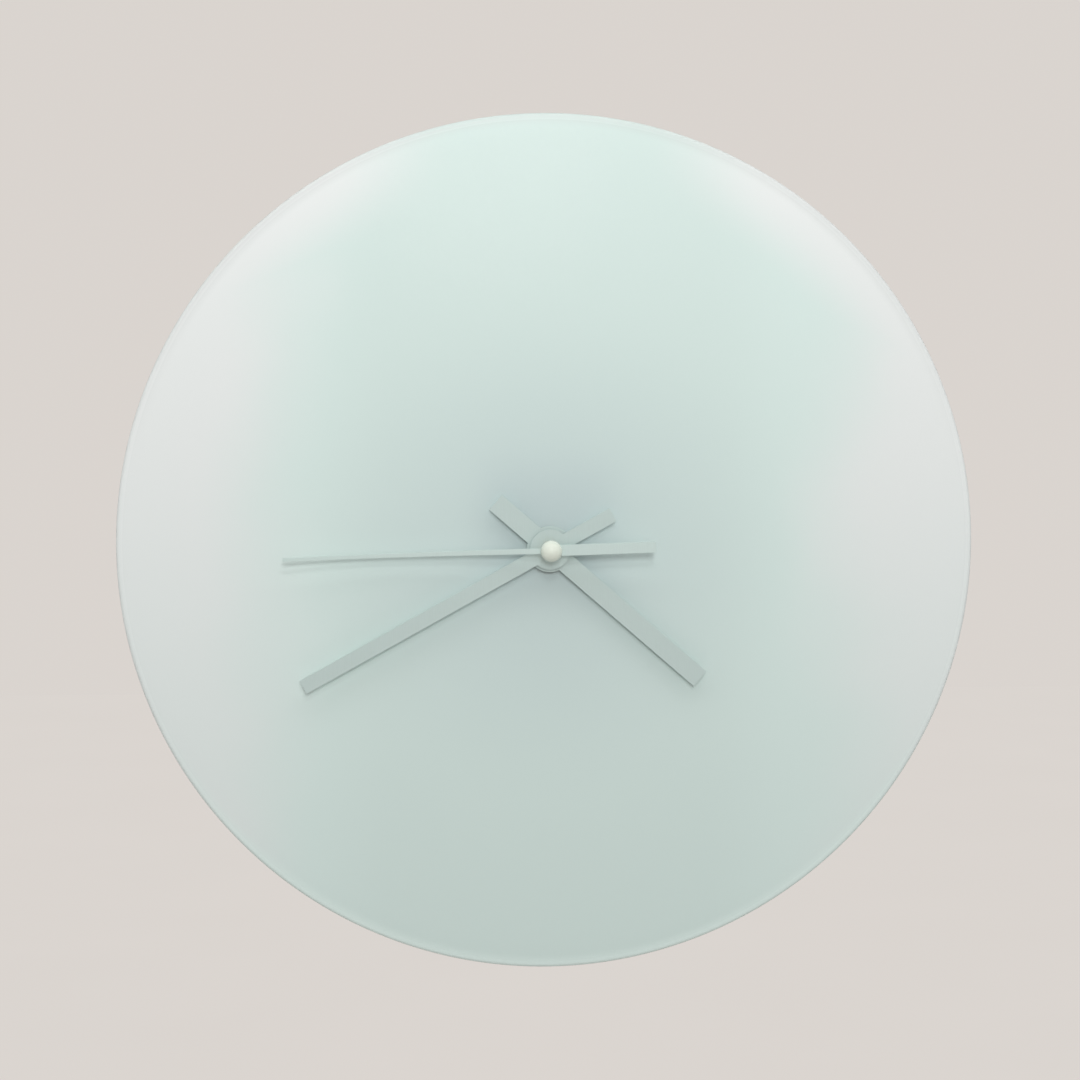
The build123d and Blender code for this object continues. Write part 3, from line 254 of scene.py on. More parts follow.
class Graph:
    """Nodes of a material or a world."""

    def __init__(self, tree):
        self.tree = tree

    def socket(self, node, name):
        """A node's input by its name, whatever its capitals."""
        return next(item for item in node.inputs if item.name.lower() == name.replace("_", " "))

    def feed(self, socket, value):
        if isinstance(value, Value):
            self.tree.links.new(value.socket, socket)
        elif socket.type == "RGBA":
            socket.default_value = (*value, 1) if len(value) == 3 else value
        else:
            socket.default_value = value

    def node(self, kind, settings=None, *values, output=0, **named):
        """Adds a node: its settings first, then sockets by place or by name."""
        node = self.tree.nodes.new(kind)
        for name, value in (settings or {}).items():
            setattr(node, name, value)
        for socket, value in zip(node.inputs, values):
            self.feed(socket, value)
        for name, value in named.items():
            self.feed(self.socket(node, name), value)
        return Value(self, node.outputs[output])

    def seen(self):
        """One where the camera sees a surface, straight or in metal and glass."""
        camera, glossy, through = (
            self.node("ShaderNodeLightPath", output=f"Is {kind} Ray")
            for kind in ("Camera", "Glossy", "Transmission")
        )
        return camera | glossy | through

    def glow(self, tint, strength=1.0):
        return self.node("ShaderNodeEmission", None, tint, strength)

    def blend(self, share, first, second):
        """Shader between two shaders."""
        return self.node("ShaderNodeMixShader", None, share, first, second)

    def position(self, centre=(0, 0, 0), turn=0.0, scale=(1, 1, 1)):
        """Place on the piece, measured from a centre and turned back about Y."""
        spot = self.node("ShaderNodeTexCoord", output="Object")
        moved = self.node("ShaderNodeMapping", None, spot, tuple(-part for part in centre))
        return self.node("ShaderNodeMapping", None, moved, (0, 0, 0), (0, -turn, 0), scale)

    def parts(self, vector):
        node = self.tree.nodes.new("ShaderNodeSeparateXYZ")
        self.feed(node.inputs[0], vector)
        return [Value(self, socket) for socket in node.outputs]

    def noise(self, vector, scale, detail=2.0):
        return self.node("ShaderNodeTexNoise", None, vector=vector, scale=scale, detail=detail)

    def mix(self, share, first, second):
        """Colour between two colours."""
        node = self.tree.nodes.new("ShaderNodeMix")
        node.data_type = "RGBA"
        self.feed(node.inputs[0], share)
        self.feed(node.inputs[6], first)
        self.feed(node.inputs[7], second)
        return Value(self, node.outputs[2])

    def bump(self, height, depth):
        """Normal raised by a height in metres."""
        return self.node("ShaderNodeBump", None, strength=1.0, distance=depth, height=height)


class Finish(Graph):
    """A material in the making: a Principled shader and the nodes that feed it."""

    def __init__(self, name, **sockets):
        self.material = bpy.data.materials.new(name)
        self.material.use_nodes = True
        super().__init__(self.material.node_tree)
        self.shader = self.tree.nodes["Principled BSDF"]
        self.set(**sockets)

    def set(self, **sockets):
        for name, value in sockets.items():
            self.feed(self.socket(self.shader, name), value)


def toned(tint, share):
    """A tint made darker, or lighter by a share over one."""
    return tuple(part * share for part in tint)


# Finishes

# Where the dial's tints change, from the middle of the dial: start and end of each change
# The middle band is painted darker than the band beside it: a painted shade.
PALE_ZONE = (0.052, 0.090)
# Painted reflection whitens the sides, more towards the top, and the upper shoulders.
SIDE_REFLECTION_ZONE = (0.076, 0.126)
SIDE_SHIFT = 0.005
SIDE_RAGGED = 0.05
UPPER_ZONE = (-0.09, 0.05)
SHOULDER_REFLECTION_RING = (0.122, 0.145)
SHOULDER_REFLECTION_ZONE = (0.030, 0.080)
BROAD_SHADE = (0.015, 0.095)
NEAR_SHADE = (0.010, 0.034)
SHADE_RISE = 0.005
SHADE_RAGGED = 0.01
# Painted light: the margin is painted lighter towards the bottom.
LIT_LOW_MARGIN_ZONE = (-0.13, -0.05)
# Painted shade: the margin is painted darker towards the top, by this share at most.
SHADED_HIGH_MARGIN_ZONE = (0.02, 0.12)
SHADED_HIGH_MARGIN_SHARE = 0.38
# Distances in from the edge of the glass between which its margin begins
MARGIN_START, MARGIN_FULL = 0.005, 0.0005
GRAIN_TINT = (0.9, 0.95, 0.94)
# Shares of the battery's length between which its dark band begins, and how ragged that border is
BAND_SHARES = (0.74, 0.743)
BAND_RAGGED = 0.00006


def dial_front_finish(dial):
    """Polished front of the glass: mint in the middle under painted shade, paler beside it, whitened at the
    sides and upper shoulders by painted reflection, painted shade over the movement, a lower margin painted
    lighter and an upper margin painted darker.
    """
    finish = Finish("frosted_dial_front", ior=1.5)
    here = finish.position(AXIS)
    x, _, z = finish.parts(here)
    radius = (x * x + z * z) ** 0.5
    cloud = finish.noise(here, scale=14.0)
    # Painted shade: the middle band stays darker than the band beside it.
    tint = finish.mix(abs(x).step(*PALE_ZONE), dial.mint, dial.pale)
    # Painted reflection: whiter sides, stronger towards the top, and whiter upper shoulders.
    side = (abs(x - SIDE_SHIFT) + (cloud - 0.5) * SIDE_RAGGED).step(*SIDE_REFLECTION_ZONE)
    upper = z.step(*UPPER_ZONE)
    shoulder = radius.step(*SHOULDER_REFLECTION_RING) * abs(x).step(*SHOULDER_REFLECTION_ZONE) * upper
    tint = finish.mix(side * (upper * 0.35 + 0.65) | shoulder, tint, dial.white)
    square = (x ** 4 + (z - SHADE_RISE) ** 4) ** 0.25 + (cloud - 0.5) * SHADE_RAGGED
    broad = 1 - radius.step(*BROAD_SHADE)
    near = 1 - square.step(*NEAR_SHADE)
    tint = finish.mix(broad * 0.55 + near * 0.45, tint, dial.shade)
    margin = radius.step(dial.radius - MARGIN_START, dial.radius - MARGIN_FULL)
    # Painted light: the lower margin is painted lighter.
    tint = finish.mix(margin * (1 - z.step(*LIT_LOW_MARGIN_ZONE)), tint, dial.low_margin)
    # Painted shade: the upper margin is painted darker.
    tint = finish.mix(margin * z.step(*SHADED_HIGH_MARGIN_ZONE) * SHADED_HIGH_MARGIN_SHARE, tint, dial.high_margin)
    grain = finish.noise(here, scale=1800.0)
    tint = finish.mix(grain * 0.05, tint, GRAIN_TINT)
    finish.set(base_color=tint, roughness=0.07 + cloud * 0.05 + margin * 0.28)
    return finish.material


def dial_edge_finish(dial):
    """Polished edge, where the glass shows its green."""
    finish = Finish("polished_glass_edge", ior=1.5, coat_roughness=0.03)
    here = finish.position(AXIS)
    layer = finish.noise(finish.position(AXIS, scale=(0.2, 1.0, 0.2)), scale=900.0)
    cloud = finish.noise(here, scale=60.0)
    dark, light = toned(dial.glass_edge, 0.88), toned(dial.glass_edge, 1.1)
    tint = finish.mix(layer * 0.5 + cloud * 0.5, dark, light)
    finish.set(base_color=tint, roughness=0.06 + cloud * 0.08, coat_weight=0.4 + layer * 0.2)
    return finish.material


def dial_back_finish(dial):
    """Etched back of the glass."""
    finish = Finish("frosted_dial_back", ior=1.5)
    here = finish.position(AXIS)
    grain = finish.noise(here, scale=2600.0, detail=3.0)
    cloud = finish.noise(here, scale=22.0)
    tint = finish.mix(cloud, toned(dial.white, 0.93), dial.white)
    tint = finish.mix(grain * 0.2, tint, dial.mint)
    finish.set(base_color=tint, roughness=0.5 + grain * 0.25, normal=finish.bump(grain, depth=0.00003))
    return finish.material


def silver_finish(name, silver, turn):
    """Satin aluminium with its grain along the hand."""
    finish = Finish(name, metallic=0.4, ior=1.45)
    along = finish.position(AXIS, turn, scale=(1.0, 1.0, 0.03))
    grain = finish.noise(along, scale=5200.0, detail=3.0)
    smear = finish.noise(finish.position(AXIS), scale=160.0)
    tint = finish.mix(grain, toned(silver, 0.95), toned(silver, 1.05))
    finish.set(
        base_color=tint,
        roughness=0.36 + grain * 0.1 + smear * 0.08,
        normal=finish.bump(grain, depth=0.000004),
    )
    return finish.material


def ivory_finish(hands):
    finish = Finish("gloss_ivory", ior=1.5, coat_roughness=0.04)
    here = finish.position(AXIS)
    cloud = finish.noise(here, scale=420.0)
    tint = finish.mix(cloud, toned(hands.ivory, 0.97), hands.ivory)
    finish.set(base_color=tint, roughness=0.16 + cloud * 0.06, coat_weight=0.3 + cloud * 0.2)
    return finish.material


def moulded_finish(name, tint, roughness, texture, scale):
    """Moulded plastic: a fine spark-eroded texture with broad changes of sheen."""
    finish = Finish(name, ior=1.46)
    here = finish.position()
    grain = finish.noise(here, scale, detail=3.0)
    cloud = finish.noise(here, scale=90.0)
    shade = finish.mix(cloud * 0.6 + grain * 0.4, toned(tint, 0.8), toned(tint, 1.25))
    finish.set(
        base_color=shade,
        roughness=roughness - 0.08 + cloud * 0.1 + grain * 0.1,
        normal=finish.bump(grain, texture),
    )
    return finish.material


def turned_finish(name, tint, roughness, centre):
    """Metal turned about the dial's axis, with fine rings left by the tool."""
    finish = Finish(name, metallic=1.0)
    here = finish.position(centre)
    x, _, z = finish.parts(here)
    radius = (x * x + z * z) ** 0.5
    rings = finish.node("ShaderNodeTexNoise", {"noise_dimensions": "1D"}, w=radius, scale=14000.0)
    cloud = finish.noise(here, scale=300.0)
    shade = finish.mix(cloud, toned(tint, 0.85), tint)
    finish.set(
        base_color=shade,
        roughness=roughness + rings * 0.12,
        normal=finish.bump(rings, depth=0.000006),
    )
    return finish.material


def brushed_finish(name, tint, roughness, stretch=(1.0, 1.0, 0.05)):
    """Rolled or plated strip with a faint grain one way."""
    finish = Finish(name, metallic=1.0)
    grain = finish.noise(finish.position(scale=stretch), scale=4200.0, detail=3.0)
    cloud = finish.noise(finish.position(), scale=260.0)
    shade = finish.mix(grain * 0.5 + cloud * 0.5, toned(tint, 0.8), tint)
    finish.set(
        base_color=shade,
        roughness=roughness + grain * 0.14,
        normal=finish.bump(grain, depth=0.000004),
    )
    return finish.material


def winding_finish():
    """Enamelled copper laid turn beside turn along the bobbin."""
    finish = Finish("copper_winding", metallic=1.0)
    here = finish.position()
    turns = finish.node(
        "ShaderNodeTexWave", {"bands_direction": "X", "wave_profile": "SIN"},
        vector=here, scale=2600.0, distortion=0.4, detail=1.0,
    )
    # The copper is painted darker in the gaps between the turns: painted shade.
    shaded_gap_copper, wire_copper = (0.36, 0.13, 0.05), (0.78, 0.36, 0.17)
    shade = finish.mix(turns, shaded_gap_copper, wire_copper)
    finish.set(base_color=shade, roughness=0.42 - turns * 0.14, normal=finish.bump(turns, depth=0.00005))
    return finish.material


def board_finish():
    """Lacquered laminate with copper tracks under the lacquer."""
    finish = Finish("lacquered_board", ior=1.5)
    here = finish.position()
    cells = finish.node(
        "ShaderNodeTexVoronoi", {"feature": "DISTANCE_TO_EDGE"}, vector=here, scale=330.0
    )
    track = cells.step(0.04, 0.09)
    cloud = finish.noise(here, scale=240.0)
    dark_green, green, field_green = (0.02, 0.12, 0.05), (0.03, 0.17, 0.07), (0.05, 0.26, 0.10)
    lacquer = finish.mix(cloud, dark_green, green)
    shade = finish.mix(track, lacquer, field_green)
    finish.set(base_color=shade, roughness=0.28 + cloud * 0.12, normal=finish.bump(track, depth=0.00003))
    return finish.material


def sleeve_finish(movement, low, high):
    """Plain printed sleeve with a dark band at the button end."""
    finish = Finish("battery_sleeve", ior=1.5)
    here = finish.position((low, 0, 0))
    x = finish.parts(here)[0]
    scuff = finish.noise(here, scale=520.0, detail=4.0)
    band_start, band_full = (share * (high - low) for share in BAND_SHARES)
    band = (x + (scuff - 0.5) * BAND_RAGGED).step(band_start, band_full)
    tint = finish.mix(scuff, toned(movement.sleeve, 0.94), movement.sleeve)
    tint = finish.mix(band, tint, movement.band)
    finish.set(base_color=tint, metallic=0.55 - band * 0.3, roughness=0.26 + scuff * 0.12)
    return finish.material


def floor_finish(stage):
    """Pale paint that shows as light as the room behind it."""
    finish = Finish("floor_paint", roughness=0.8)
    cloud = finish.noise(finish.position(), scale=3.0)
    tint = finish.mix(cloud, toned(stage.backdrop, 0.98), stage.backdrop)
    finish.set(base_color=tint)
    paint_shader = Value(finish, finish.shader.outputs[0])
    glow_share, glow_strength = 0.9, 1.09
    shown = finish.blend(finish.seen() * glow_share, paint_shader, finish.glow(tint, glow_strength))
    finish.feed(finish.tree.nodes["Material Output"].inputs[0], shown)
    return finish.material


# Modelling

def pick(piece):
    """Makes one object the only one selected, and the active one."""
    bpy.ops.object.select_all(action="DESELECT")
    piece.select_set(True)
    bpy.context.view_layer.objects.active = piece


def edit(piece):
    pick(piece)
    bpy.ops.object.mode_set(mode="EDIT")


def leave():
    bpy.ops.object.mode_set(mode="OBJECT")


def apply_place():
    bpy.ops.object.transform_apply(location=True, rotation=True, scale=True)


def set_in_place(piece, where=AXIS, turn=(0, 0, 0)):
    """Moves a piece from the origin to its place, and keeps the place in the mesh."""
    pick(piece)
    piece.location = where
    piece.rotation_euler = turn
    apply_place()


def run_modifier(piece, kind, **settings):
    pick(piece)
    modifier = piece.modifiers.new(kind.title(), kind)
    for name, value in settings.items():
        setattr(modifier, name, value)
    bpy.ops.object.modifier_apply(modifier=modifier.name)


def combine(piece, other, operation):
    run_modifier(piece, "BOOLEAN", operation=operation, solver="EXACT", object=other)
    bpy.data.objects.remove(other)


def ease_edges(piece, width, segments=3):
    """Rounds the sharp edges and keeps the flats flat."""
    run_modifier(
        piece, "BEVEL", width=width, segments=segments, limit_method="ANGLE", angle_limit=BEVEL_ANGLE
    )
    pick(piece)
    bpy.ops.object.shade_smooth_by_angle(angle=SMOOTH_ANGLE)
    run_modifier(piece, "WEIGHTED_NORMAL", keep_sharp=True)


def bar(name, width, back, front, low, high):
    """Flat bar along Z between two depths."""
    bpy.ops.object.select_all(action="DESELECT")
    bpy.ops.mesh.primitive_cube_add(
        size=1, location=(0, -(back + front) / 2, (low + high) / 2), scale=(width, front - back, high - low)
    )
    apply_place()
    bpy.context.object.name = name
    return bpy.context.object


def pillar(name, radius, back, front, segments=96):
    """Round boss on the axis between two depths."""
    bpy.ops.object.select_all(action="DESELECT")
    bpy.ops.mesh.primitive_cylinder_add(
        vertices=segments, radius=radius, depth=front - back, location=(0, -(back + front) / 2, 0),
        rotation=(math.pi / 2, 0, 0),
    )
    apply_place()
    bpy.context.object.name = name
    return bpy.context.object


def turned(name, profile, segments, closed):
    """Turns (radius, depth) pairs about the Y axis: a ring where closed, or else a solid."""
    radius, depth = profile[0]
    bpy.ops.object.select_all(action="DESELECT")
    bpy.ops.mesh.primitive_circle_add(
        vertices=segments, radius=radius, location=(0, -depth, 0), rotation=(math.pi / 2, 0, 0)
    )
    apply_place()
    piece = bpy.context.object
    piece.name = name
    edit(piece)
    bpy.ops.mesh.select_mode(type="EDGE")
    bpy.ops.mesh.select_all(action="SELECT")
    for (old_radius, old_depth), (radius, depth) in zip(profile, profile[1:]):
        bpy.ops.mesh.extrude_edges_move(TRANSFORM_OT_translate={"value": (0, old_depth - depth, 0)})
        share = radius / old_radius
        bpy.ops.transform.resize(value=(share, 1, share), center_override=(0, -depth, 0))
    if closed:
        bpy.ops.mesh.select_non_manifold(
            extend=False, use_wire=False, use_multi_face=False, use_non_contiguous=False, use_verts=False
        )
        bpy.ops.mesh.bridge_edge_loops()
    else:
        bpy.ops.mesh.select_all(action="SELECT")
        bpy.ops.mesh.fill_holes(sides=0)
    bpy.ops.mesh.select_all(action="SELECT")
    bpy.ops.mesh.normals_make_consistent(inside=False)
    leave()
    bpy.ops.object.shade_smooth_by_angle(angle=SMOOTH_ANGLE)
    return piece


def arc(radius, depth, size, start, end, steps):
    """Rounded corner of a profile, by its centre, its radius and its two angles in degrees."""
    angles = [math.radians(start + (end - start) * step / steps) for step in range(steps + 1)]
    return [(radius + size * math.cos(turn), depth + size * math.sin(turn)) for turn in angles]


def merged_copy(node, name):
    """Copy of a node with its triangles merged into whole faces."""
    pick(frame["nodes"][node])
    bpy.ops.object.duplicate()
    piece = bpy.context.object
    piece.name = name
    piece.parent = None
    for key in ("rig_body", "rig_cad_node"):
        del piece[key]
    piece.data.materials.clear()
    edit(piece)
    bpy.ops.mesh.select_all(action="SELECT")
    bpy.ops.mesh.remove_doubles(threshold=MERGE_GAP)
    bpy.ops.mesh.dissolve_limited(angle_limit=FLAT_ANGLE)
    leave()
    return piece


def eased_copy(node, name, width):
    """Copy of a node with its edges rounded."""
    piece = merged_copy(node, name)
    ease_edges(piece, width)
    return piece


def paint(piece, *finishes):
    piece.data.materials.clear()
    for finish in finishes:
        piece.data.materials.append(finish)


def paint_where(piece, index, test):
    """Gives another finish to the faces whose middle and normal pass a test."""
    for face in piece.data.polygons:
        if test(face.center, face.normal):
            face.material_index = index


def seat(piece, body, node):
    """The piece moves with a body and stands for a node."""
    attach(piece, body)
    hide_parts(node)


# Pieces

class CLOCK_OT_glass_dial(bpy.types.Operator):
    """Turns the glass disc with its softened margin and polished edge"""
    bl_idname = "clock.glass_dial"
    bl_label = "Glass Dial"

    def execute(self, context):
        dial = context.scene.clock_dial
        chamfer = 0.3 * MM
        soft_start = dial.radius - dial.soft_band
        edge_centre = dial.radius - dial.edge
        low_front = GLASS_FRONT - dial.soft_drop
        profile = [
            (dial.hole + chamfer, GLASS_BACK),
            (dial.hole, GLASS_BACK + chamfer),
            (dial.hole, GLASS_FRONT - chamfer),
            (dial.hole + chamfer, GLASS_FRONT),
        ]
        band_steps, corner_steps = 6, 8
        for step in range(band_steps):
            share = step / band_steps
            fall = share * share * (3 - 2 * share)
            profile.append((
                soft_start + share * (edge_centre - soft_start), GLASS_FRONT - fall * dial.soft_drop
            ))
        profile += arc(edge_centre, low_front - dial.edge, dial.edge, 90, 0, corner_steps)
        profile += arc(edge_centre, GLASS_BACK + dial.edge, dial.edge, 0, -90, corner_steps)
        piece = turned("frosted_glass_disc", profile, segments=288, closed=True)
        set_in_place(piece)
        paint(piece, dial_front_finish(dial), dial_back_finish(dial), dial_edge_finish(dial))
        back_finish, edge_finish = 1, 2
        facing_wall, facing_out = 0.9, 0.35
        paint_where(piece, back_finish, lambda middle, normal: normal.y > facing_wall)
        paint_where(piece, edge_finish, lambda middle, normal: abs(normal.y) < facing_out)
        seat(piece, "clock_body", "glass_dial")
        return {"FINISHED"}


class CLOCK_OT_hour_minute_hands(bpy.types.Operator):
    """Stamps the two flat baton hands with their round bosses"""
    bl_idname = "clock.hour_minute_hands"
    bl_label = "Hour and Minute Hands"

    def execute(self, context):
        hands = context.scene.clock_hands
        for part in ("hour", "minute"):
            back, front = depth_of(f"{part}_hand")
            reach, tail = getattr(hands, f"{part}_reach"), getattr(hands, f"{part}_tail")
            width, boss = getattr(hands, f"{part}_width"), getattr(hands, f"{part}_boss")
            turn = getattr(hands, f"{part}_angle")
            piece = bar(f"{part}_baton", width, back, front, -tail, reach)
            combine(piece, pillar("boss", boss, back, front), "UNION")
            neck = radius_of(f"{part}_collet") - COLLET_SHOULDER
            combine(piece, pillar("hole", neck, back - MM, front + MM), "DIFFERENCE")
            ease_edges(piece, hands.edge)
            set_in_place(piece, AXIS, (0, turn, 0))
            paint(piece, silver_finish(f"satin_silver_{part}", hands.silver, turn))
            seat(piece, f"{part}_work", f"{part}_hand")
        return {"FINISHED"}


class CLOCK_OT_second_hand(bpy.types.Operator):
    """Draws the thin second hand, with an arm that bows towards the glass and a wide straight tail"""
    bl_idname = "clock.second_hand"
    bl_label = "Second Hand"

    def execute(self, context):
        hands = context.scene.clock_hands
        front = depth_of("second_hand")[1]
        back = front - hands.second_thickness
        middle = (back + front) / 2
        bpy.ops.object.select_all(action="DESELECT")
        bpy.ops.mesh.primitive_plane_add(size=1, location=(0, -middle, 0))
        bpy.context.object.scale = (hands.second_root, hands.second_thickness, 1)
        apply_place()
        piece = bpy.context.object
        piece.name = "second_sweep"
        edit(piece)
        bpy.ops.mesh.select_all(action="SELECT")
        stations = 28
        run = hands.second_reach - hands.second_bend
        taper = hands.second_tip - hands.second_root
        reached, width, bowed = 0.0, hands.second_root, 0.0
        for station in range(stations + 1):
            along = hands.second_bend + station / stations * run
            new_width = hands.second_root + along / hands.second_reach * taper
            new_bowed = self.bow(hands, station / stations)
            step = (0, new_bowed - bowed, along - reached)
            bpy.ops.mesh.extrude_region_move(TRANSFORM_OT_translate={"value": step})
            centre = (0, new_bowed - middle, along)
            bpy.ops.transform.resize(value=(new_width / width, 1, 1), center_override=centre)
            reached, width, bowed = along, new_width, new_bowed
        bpy.ops.mesh.select_all(action="SELECT")
        bpy.ops.mesh.normals_make_consistent(inside=False)
        leave()
        combine(piece, bar("tail", hands.second_tail_width, back, front, -hands.second_tail, 0.0), "UNION")
        combine(piece, pillar("boss", hands.second_boss, back, front), "UNION")
        neck = radius_of("second_socket") - COLLET_SHOULDER
        combine(piece, pillar("hole", neck, back - MM, front + MM), "DIFFERENCE")
        thin_share = 0.75
        ease_edges(piece, hands.edge * thin_share)
        set_in_place(piece, AXIS, (0, hands.second_angle, 0))
        paint(piece, silver_finish("satin_silver_second", hands.bright, hands.second_angle))
        seat(piece, "second_work", "second_hand")
        return {"FINISHED"}

    def bow(self, hands, share):
        """How far the arm lies towards the glass at a share of its bent length."""
        deepest = 0.605
        curve = (hands.second_sag / deepest - hands.second_tip_sag) / (1 - deepest)
        return share * (hands.second_tip_sag + curve * (1 - share))


class CLOCK_OT_centre_cap(bpy.types.Operator):
    """Turns the glossy ball that covers the second hand's socket"""
    bl_idname = "clock.centre_cap"
    bl_label = "Centre Cap"

    def execute(self, context):
        hands = context.scene.clock_hands
        back, front = depth_of("centre_cap")
        radius = radius_of("centre_cap")
        centre = front - radius
        flat_angle = math.degrees(math.asin((back - centre) / radius))
        bore_inset, end_room, lip = 0.97 * MM, 0.02 * MM, 0.1 * MM
        bore = radius_of("second_socket") - bore_inset
        bore_end = depth_of("second_socket")[1] + end_room
        profile = [(POINT, bore_end), (bore, bore_end), (bore, back)]
        ball = arc(0.0, centre, radius, start=flat_angle, end=89.0, steps=36)
        profile += [(ball[0][0] - lip, back), *ball]
        piece = turned("ball_cap", profile, segments=96, closed=False)
        set_in_place(piece)
        paint(piece, ivory_finish(hands))
        seat(piece, "second_work", "centre_cap")
        return {"FINISHED"}


class CLOCK_OT_hub_fittings(bpy.types.Operator):
    """Eases and finishes the turned brass that clamps the dial and carries the hands"""
    bl_idname = "clock.hub_fittings"
    bl_label = "Hub Fittings"

    def execute(self, context):
        movement = context.scene.clock_movement
        brass = turned_finish("turned_brass", movement.brass, roughness=0.22, centre=AXIS)
        fittings = [
            ("fixing_nut", "clock_body", 0.12), ("dial_washer", "clock_body", 0.08),
            ("hour_collet", "hour_work", 0.06), ("minute_collet", "minute_work", 0.06),
            ("hand_nut", "minute_work", 0.08),
        ]
        for node, body, rounding in fittings:
            piece = eased_copy(node, f"{node}_turned", rounding * MM)
            paint(piece, brass)
            seat(piece, body, node)
        for node in ("threaded_bush", "second_socket", "minute_tube"):
            paint(frame["nodes"][node], brass)
        rubber = moulded_finish(
            "soft_rubber", (0.03, 0.03, 0.03), roughness=0.75, texture=0.00002, scale=2400.0
        )
        paint(frame["nodes"]["rubber_gasket"], rubber)
        return {"FINISHED"}


# Signs on the back cover: a sunk bare panel, a plus, a minus and an arrow
PANEL_WIDTH, PANEL_HEIGHT = 26.0 * MM, 13.0 * MM
PANEL_DEPTH = 0.35 * MM
PANEL_CORNER = 2.0 * MM
PANEL_PLACE = Vector((7.0 * MM, 0, 4.0 * MM))
SIGN_RISE, SIGN_ROOT = 0.45 * MM, 0.4 * MM
SIGN_ARM, SIGN_STROKE = 4.2 * MM, 1.1 * MM
SIGN_PAINT_RISE = 0.15 * MM
PLUS_PLACE = Vector((22.0 * MM, 0, -7.8 * MM))
MINUS_PLACE = Vector((-22.0 * MM, 0, -7.8 * MM))
ARROW_GAP = 2.2 * MM
ARROW_HEAD = 1.7 * MM
ARROW_STRETCH = 1.3
ARROW_START, ARROW_SWEEP = math.radians(-50), math.radians(85)


class CLOCK_OT_movement_shell(bpy.types.Operator):
    """Eases the moulded case, its cover with the raised signs, and the hanging loop"""
    bl_idname = "clock.movement_shell"
    bl_label = "Movement Shell"

    def execute(self, context):
        movement = context.scene.clock_movement
        black = moulded_finish(
            "moulded_black", movement.black, roughness=0.52, texture=0.00002, scale=3200.0
        )
        for node in ("movement_case", "back_cover", "hanger_loop"):
            piece = merged_copy(node, f"{node}_moulding")
            if node == "back_cover":
                self.raise_signs(piece)
            ease_edges(piece, movement.edge)
            paint(piece, black)
            if node == "back_cover":
                sign_paint = moulded_finish(
                    "sign_paint", movement.signs, roughness=0.5, texture=0.00001, scale=4200.0
                )
                piece.data.materials.append(sign_paint)
                proud = SIGN_PAINT_RISE - depth_of("back_cover")[0]
                paint_where(piece, 1, lambda middle, normal: middle.y > proud)
            seat(piece, "clock_body", node)
        return {"FINISHED"}

    def raise_signs(self, cover):
        """Plus and minus over the battery's ends, an arrow round the knob and a sunk bare panel."""
        back = depth_of("back_cover")[0]
        half = PANEL_HEIGHT / 2
        panel = bar("panel", PANEL_WIDTH, back - MM, back + PANEL_DEPTH, -half, half)
        self.round_corners(panel, PANEL_CORNER)
        set_in_place(panel, AXIS + PANEL_PLACE)
        combine(cover, panel, "DIFFERENCE")
        low, high = back - SIGN_RISE, back + SIGN_ROOT
        arm, stroke = SIGN_ARM, SIGN_STROKE
        for offset, upright in ((PLUS_PLACE, True), (MINUS_PLACE, False)):
            sign = bar("sign", arm, low, high, -stroke / 2, stroke / 2)
            if upright:
                combine(sign, bar("stroke", stroke, low, high, -arm / 2, arm / 2), "UNION")
            set_in_place(sign, AXIS + offset)
            combine(cover, sign, "UNION")
        combine(cover, self.arrow(low, high, stroke), "UNION")

    def round_corners(self, plate, radius):
        """Rounds a plate's four edges that run from back to front."""
        edit(plate)
        bpy.ops.mesh.select_all(action="DESELECT")
        leave()
        points = plate.data.vertices
        for edge in plate.data.edges:
            ends = [points[index].co for index in edge.vertices]
            edge.select = abs(ends[0].y - ends[1].y) > radius / 4
        edit(plate)
        bpy.ops.mesh.bevel(offset=radius, segments=8)
        leave()

    def arrow(self, low, high, stroke):
        """Bent arrow over the knob, the way that it turns to set the hands forward."""
        knob_low, knob_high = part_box("setting_knob")
        centre = (knob_low + knob_high) / 2
        reach = radius_of("setting_knob") + ARROW_GAP
        bpy.ops.object.select_all(action="DESELECT")
        bpy.ops.mesh.primitive_plane_add(size=1, rotation=(0, math.pi / 2, 0))
        shaft = bpy.context.object
        shaft.scale = (stroke, high - low, 1)
        apply_place()
        shaft.location = (0, -(low + high) / 2, reach)
        apply_place()
        set_in_place(shaft, ORIGIN, (0, ARROW_START, 0))
        edit(shaft)
        bpy.ops.mesh.select_all(action="SELECT")
        bpy.ops.mesh.spin(steps=20, angle=-ARROW_SWEEP, center=(0, 0, 0), axis=(0, 1, 0))
        bpy.ops.mesh.select_all(action="SELECT")
        bpy.ops.mesh.normals_make_consistent(inside=False)
        leave()
        tip = pillar("head", ARROW_HEAD, low, high, segments=3)
        set_in_place(tip, ORIGIN, (0, math.pi / 2, 0))
        tip.scale.x = ARROW_STRETCH
        set_in_place(tip, Vector((0, 0, reach)))
        set_in_place(tip, ORIGIN, (0, ARROW_START + ARROW_SWEEP, 0))
        combine(shaft, tip, "UNION")
        set_in_place(shaft, Vector((centre.x, 0, centre.z)))
        return shaft


class CLOCK_OT_setting_knob(bpy.types.Operator):
    """Eases the fluted knob that sets the hands"""
    bl_idname = "clock.setting_knob"
    bl_label = "Setting Knob"

    def execute(self, context):
        movement = context.scene.clock_movement
        piece = eased_copy("setting_knob", "fluted_knob", width=0.18 * MM)
        black = moulded_finish(
            "knob_black", toned(movement.black, 1.3), roughness=0.40, texture=0.00001, scale=3800.0
        )
        paint(piece, black)
        seat(piece, "setting_work", "setting_knob")
        return {"FINISHED"}


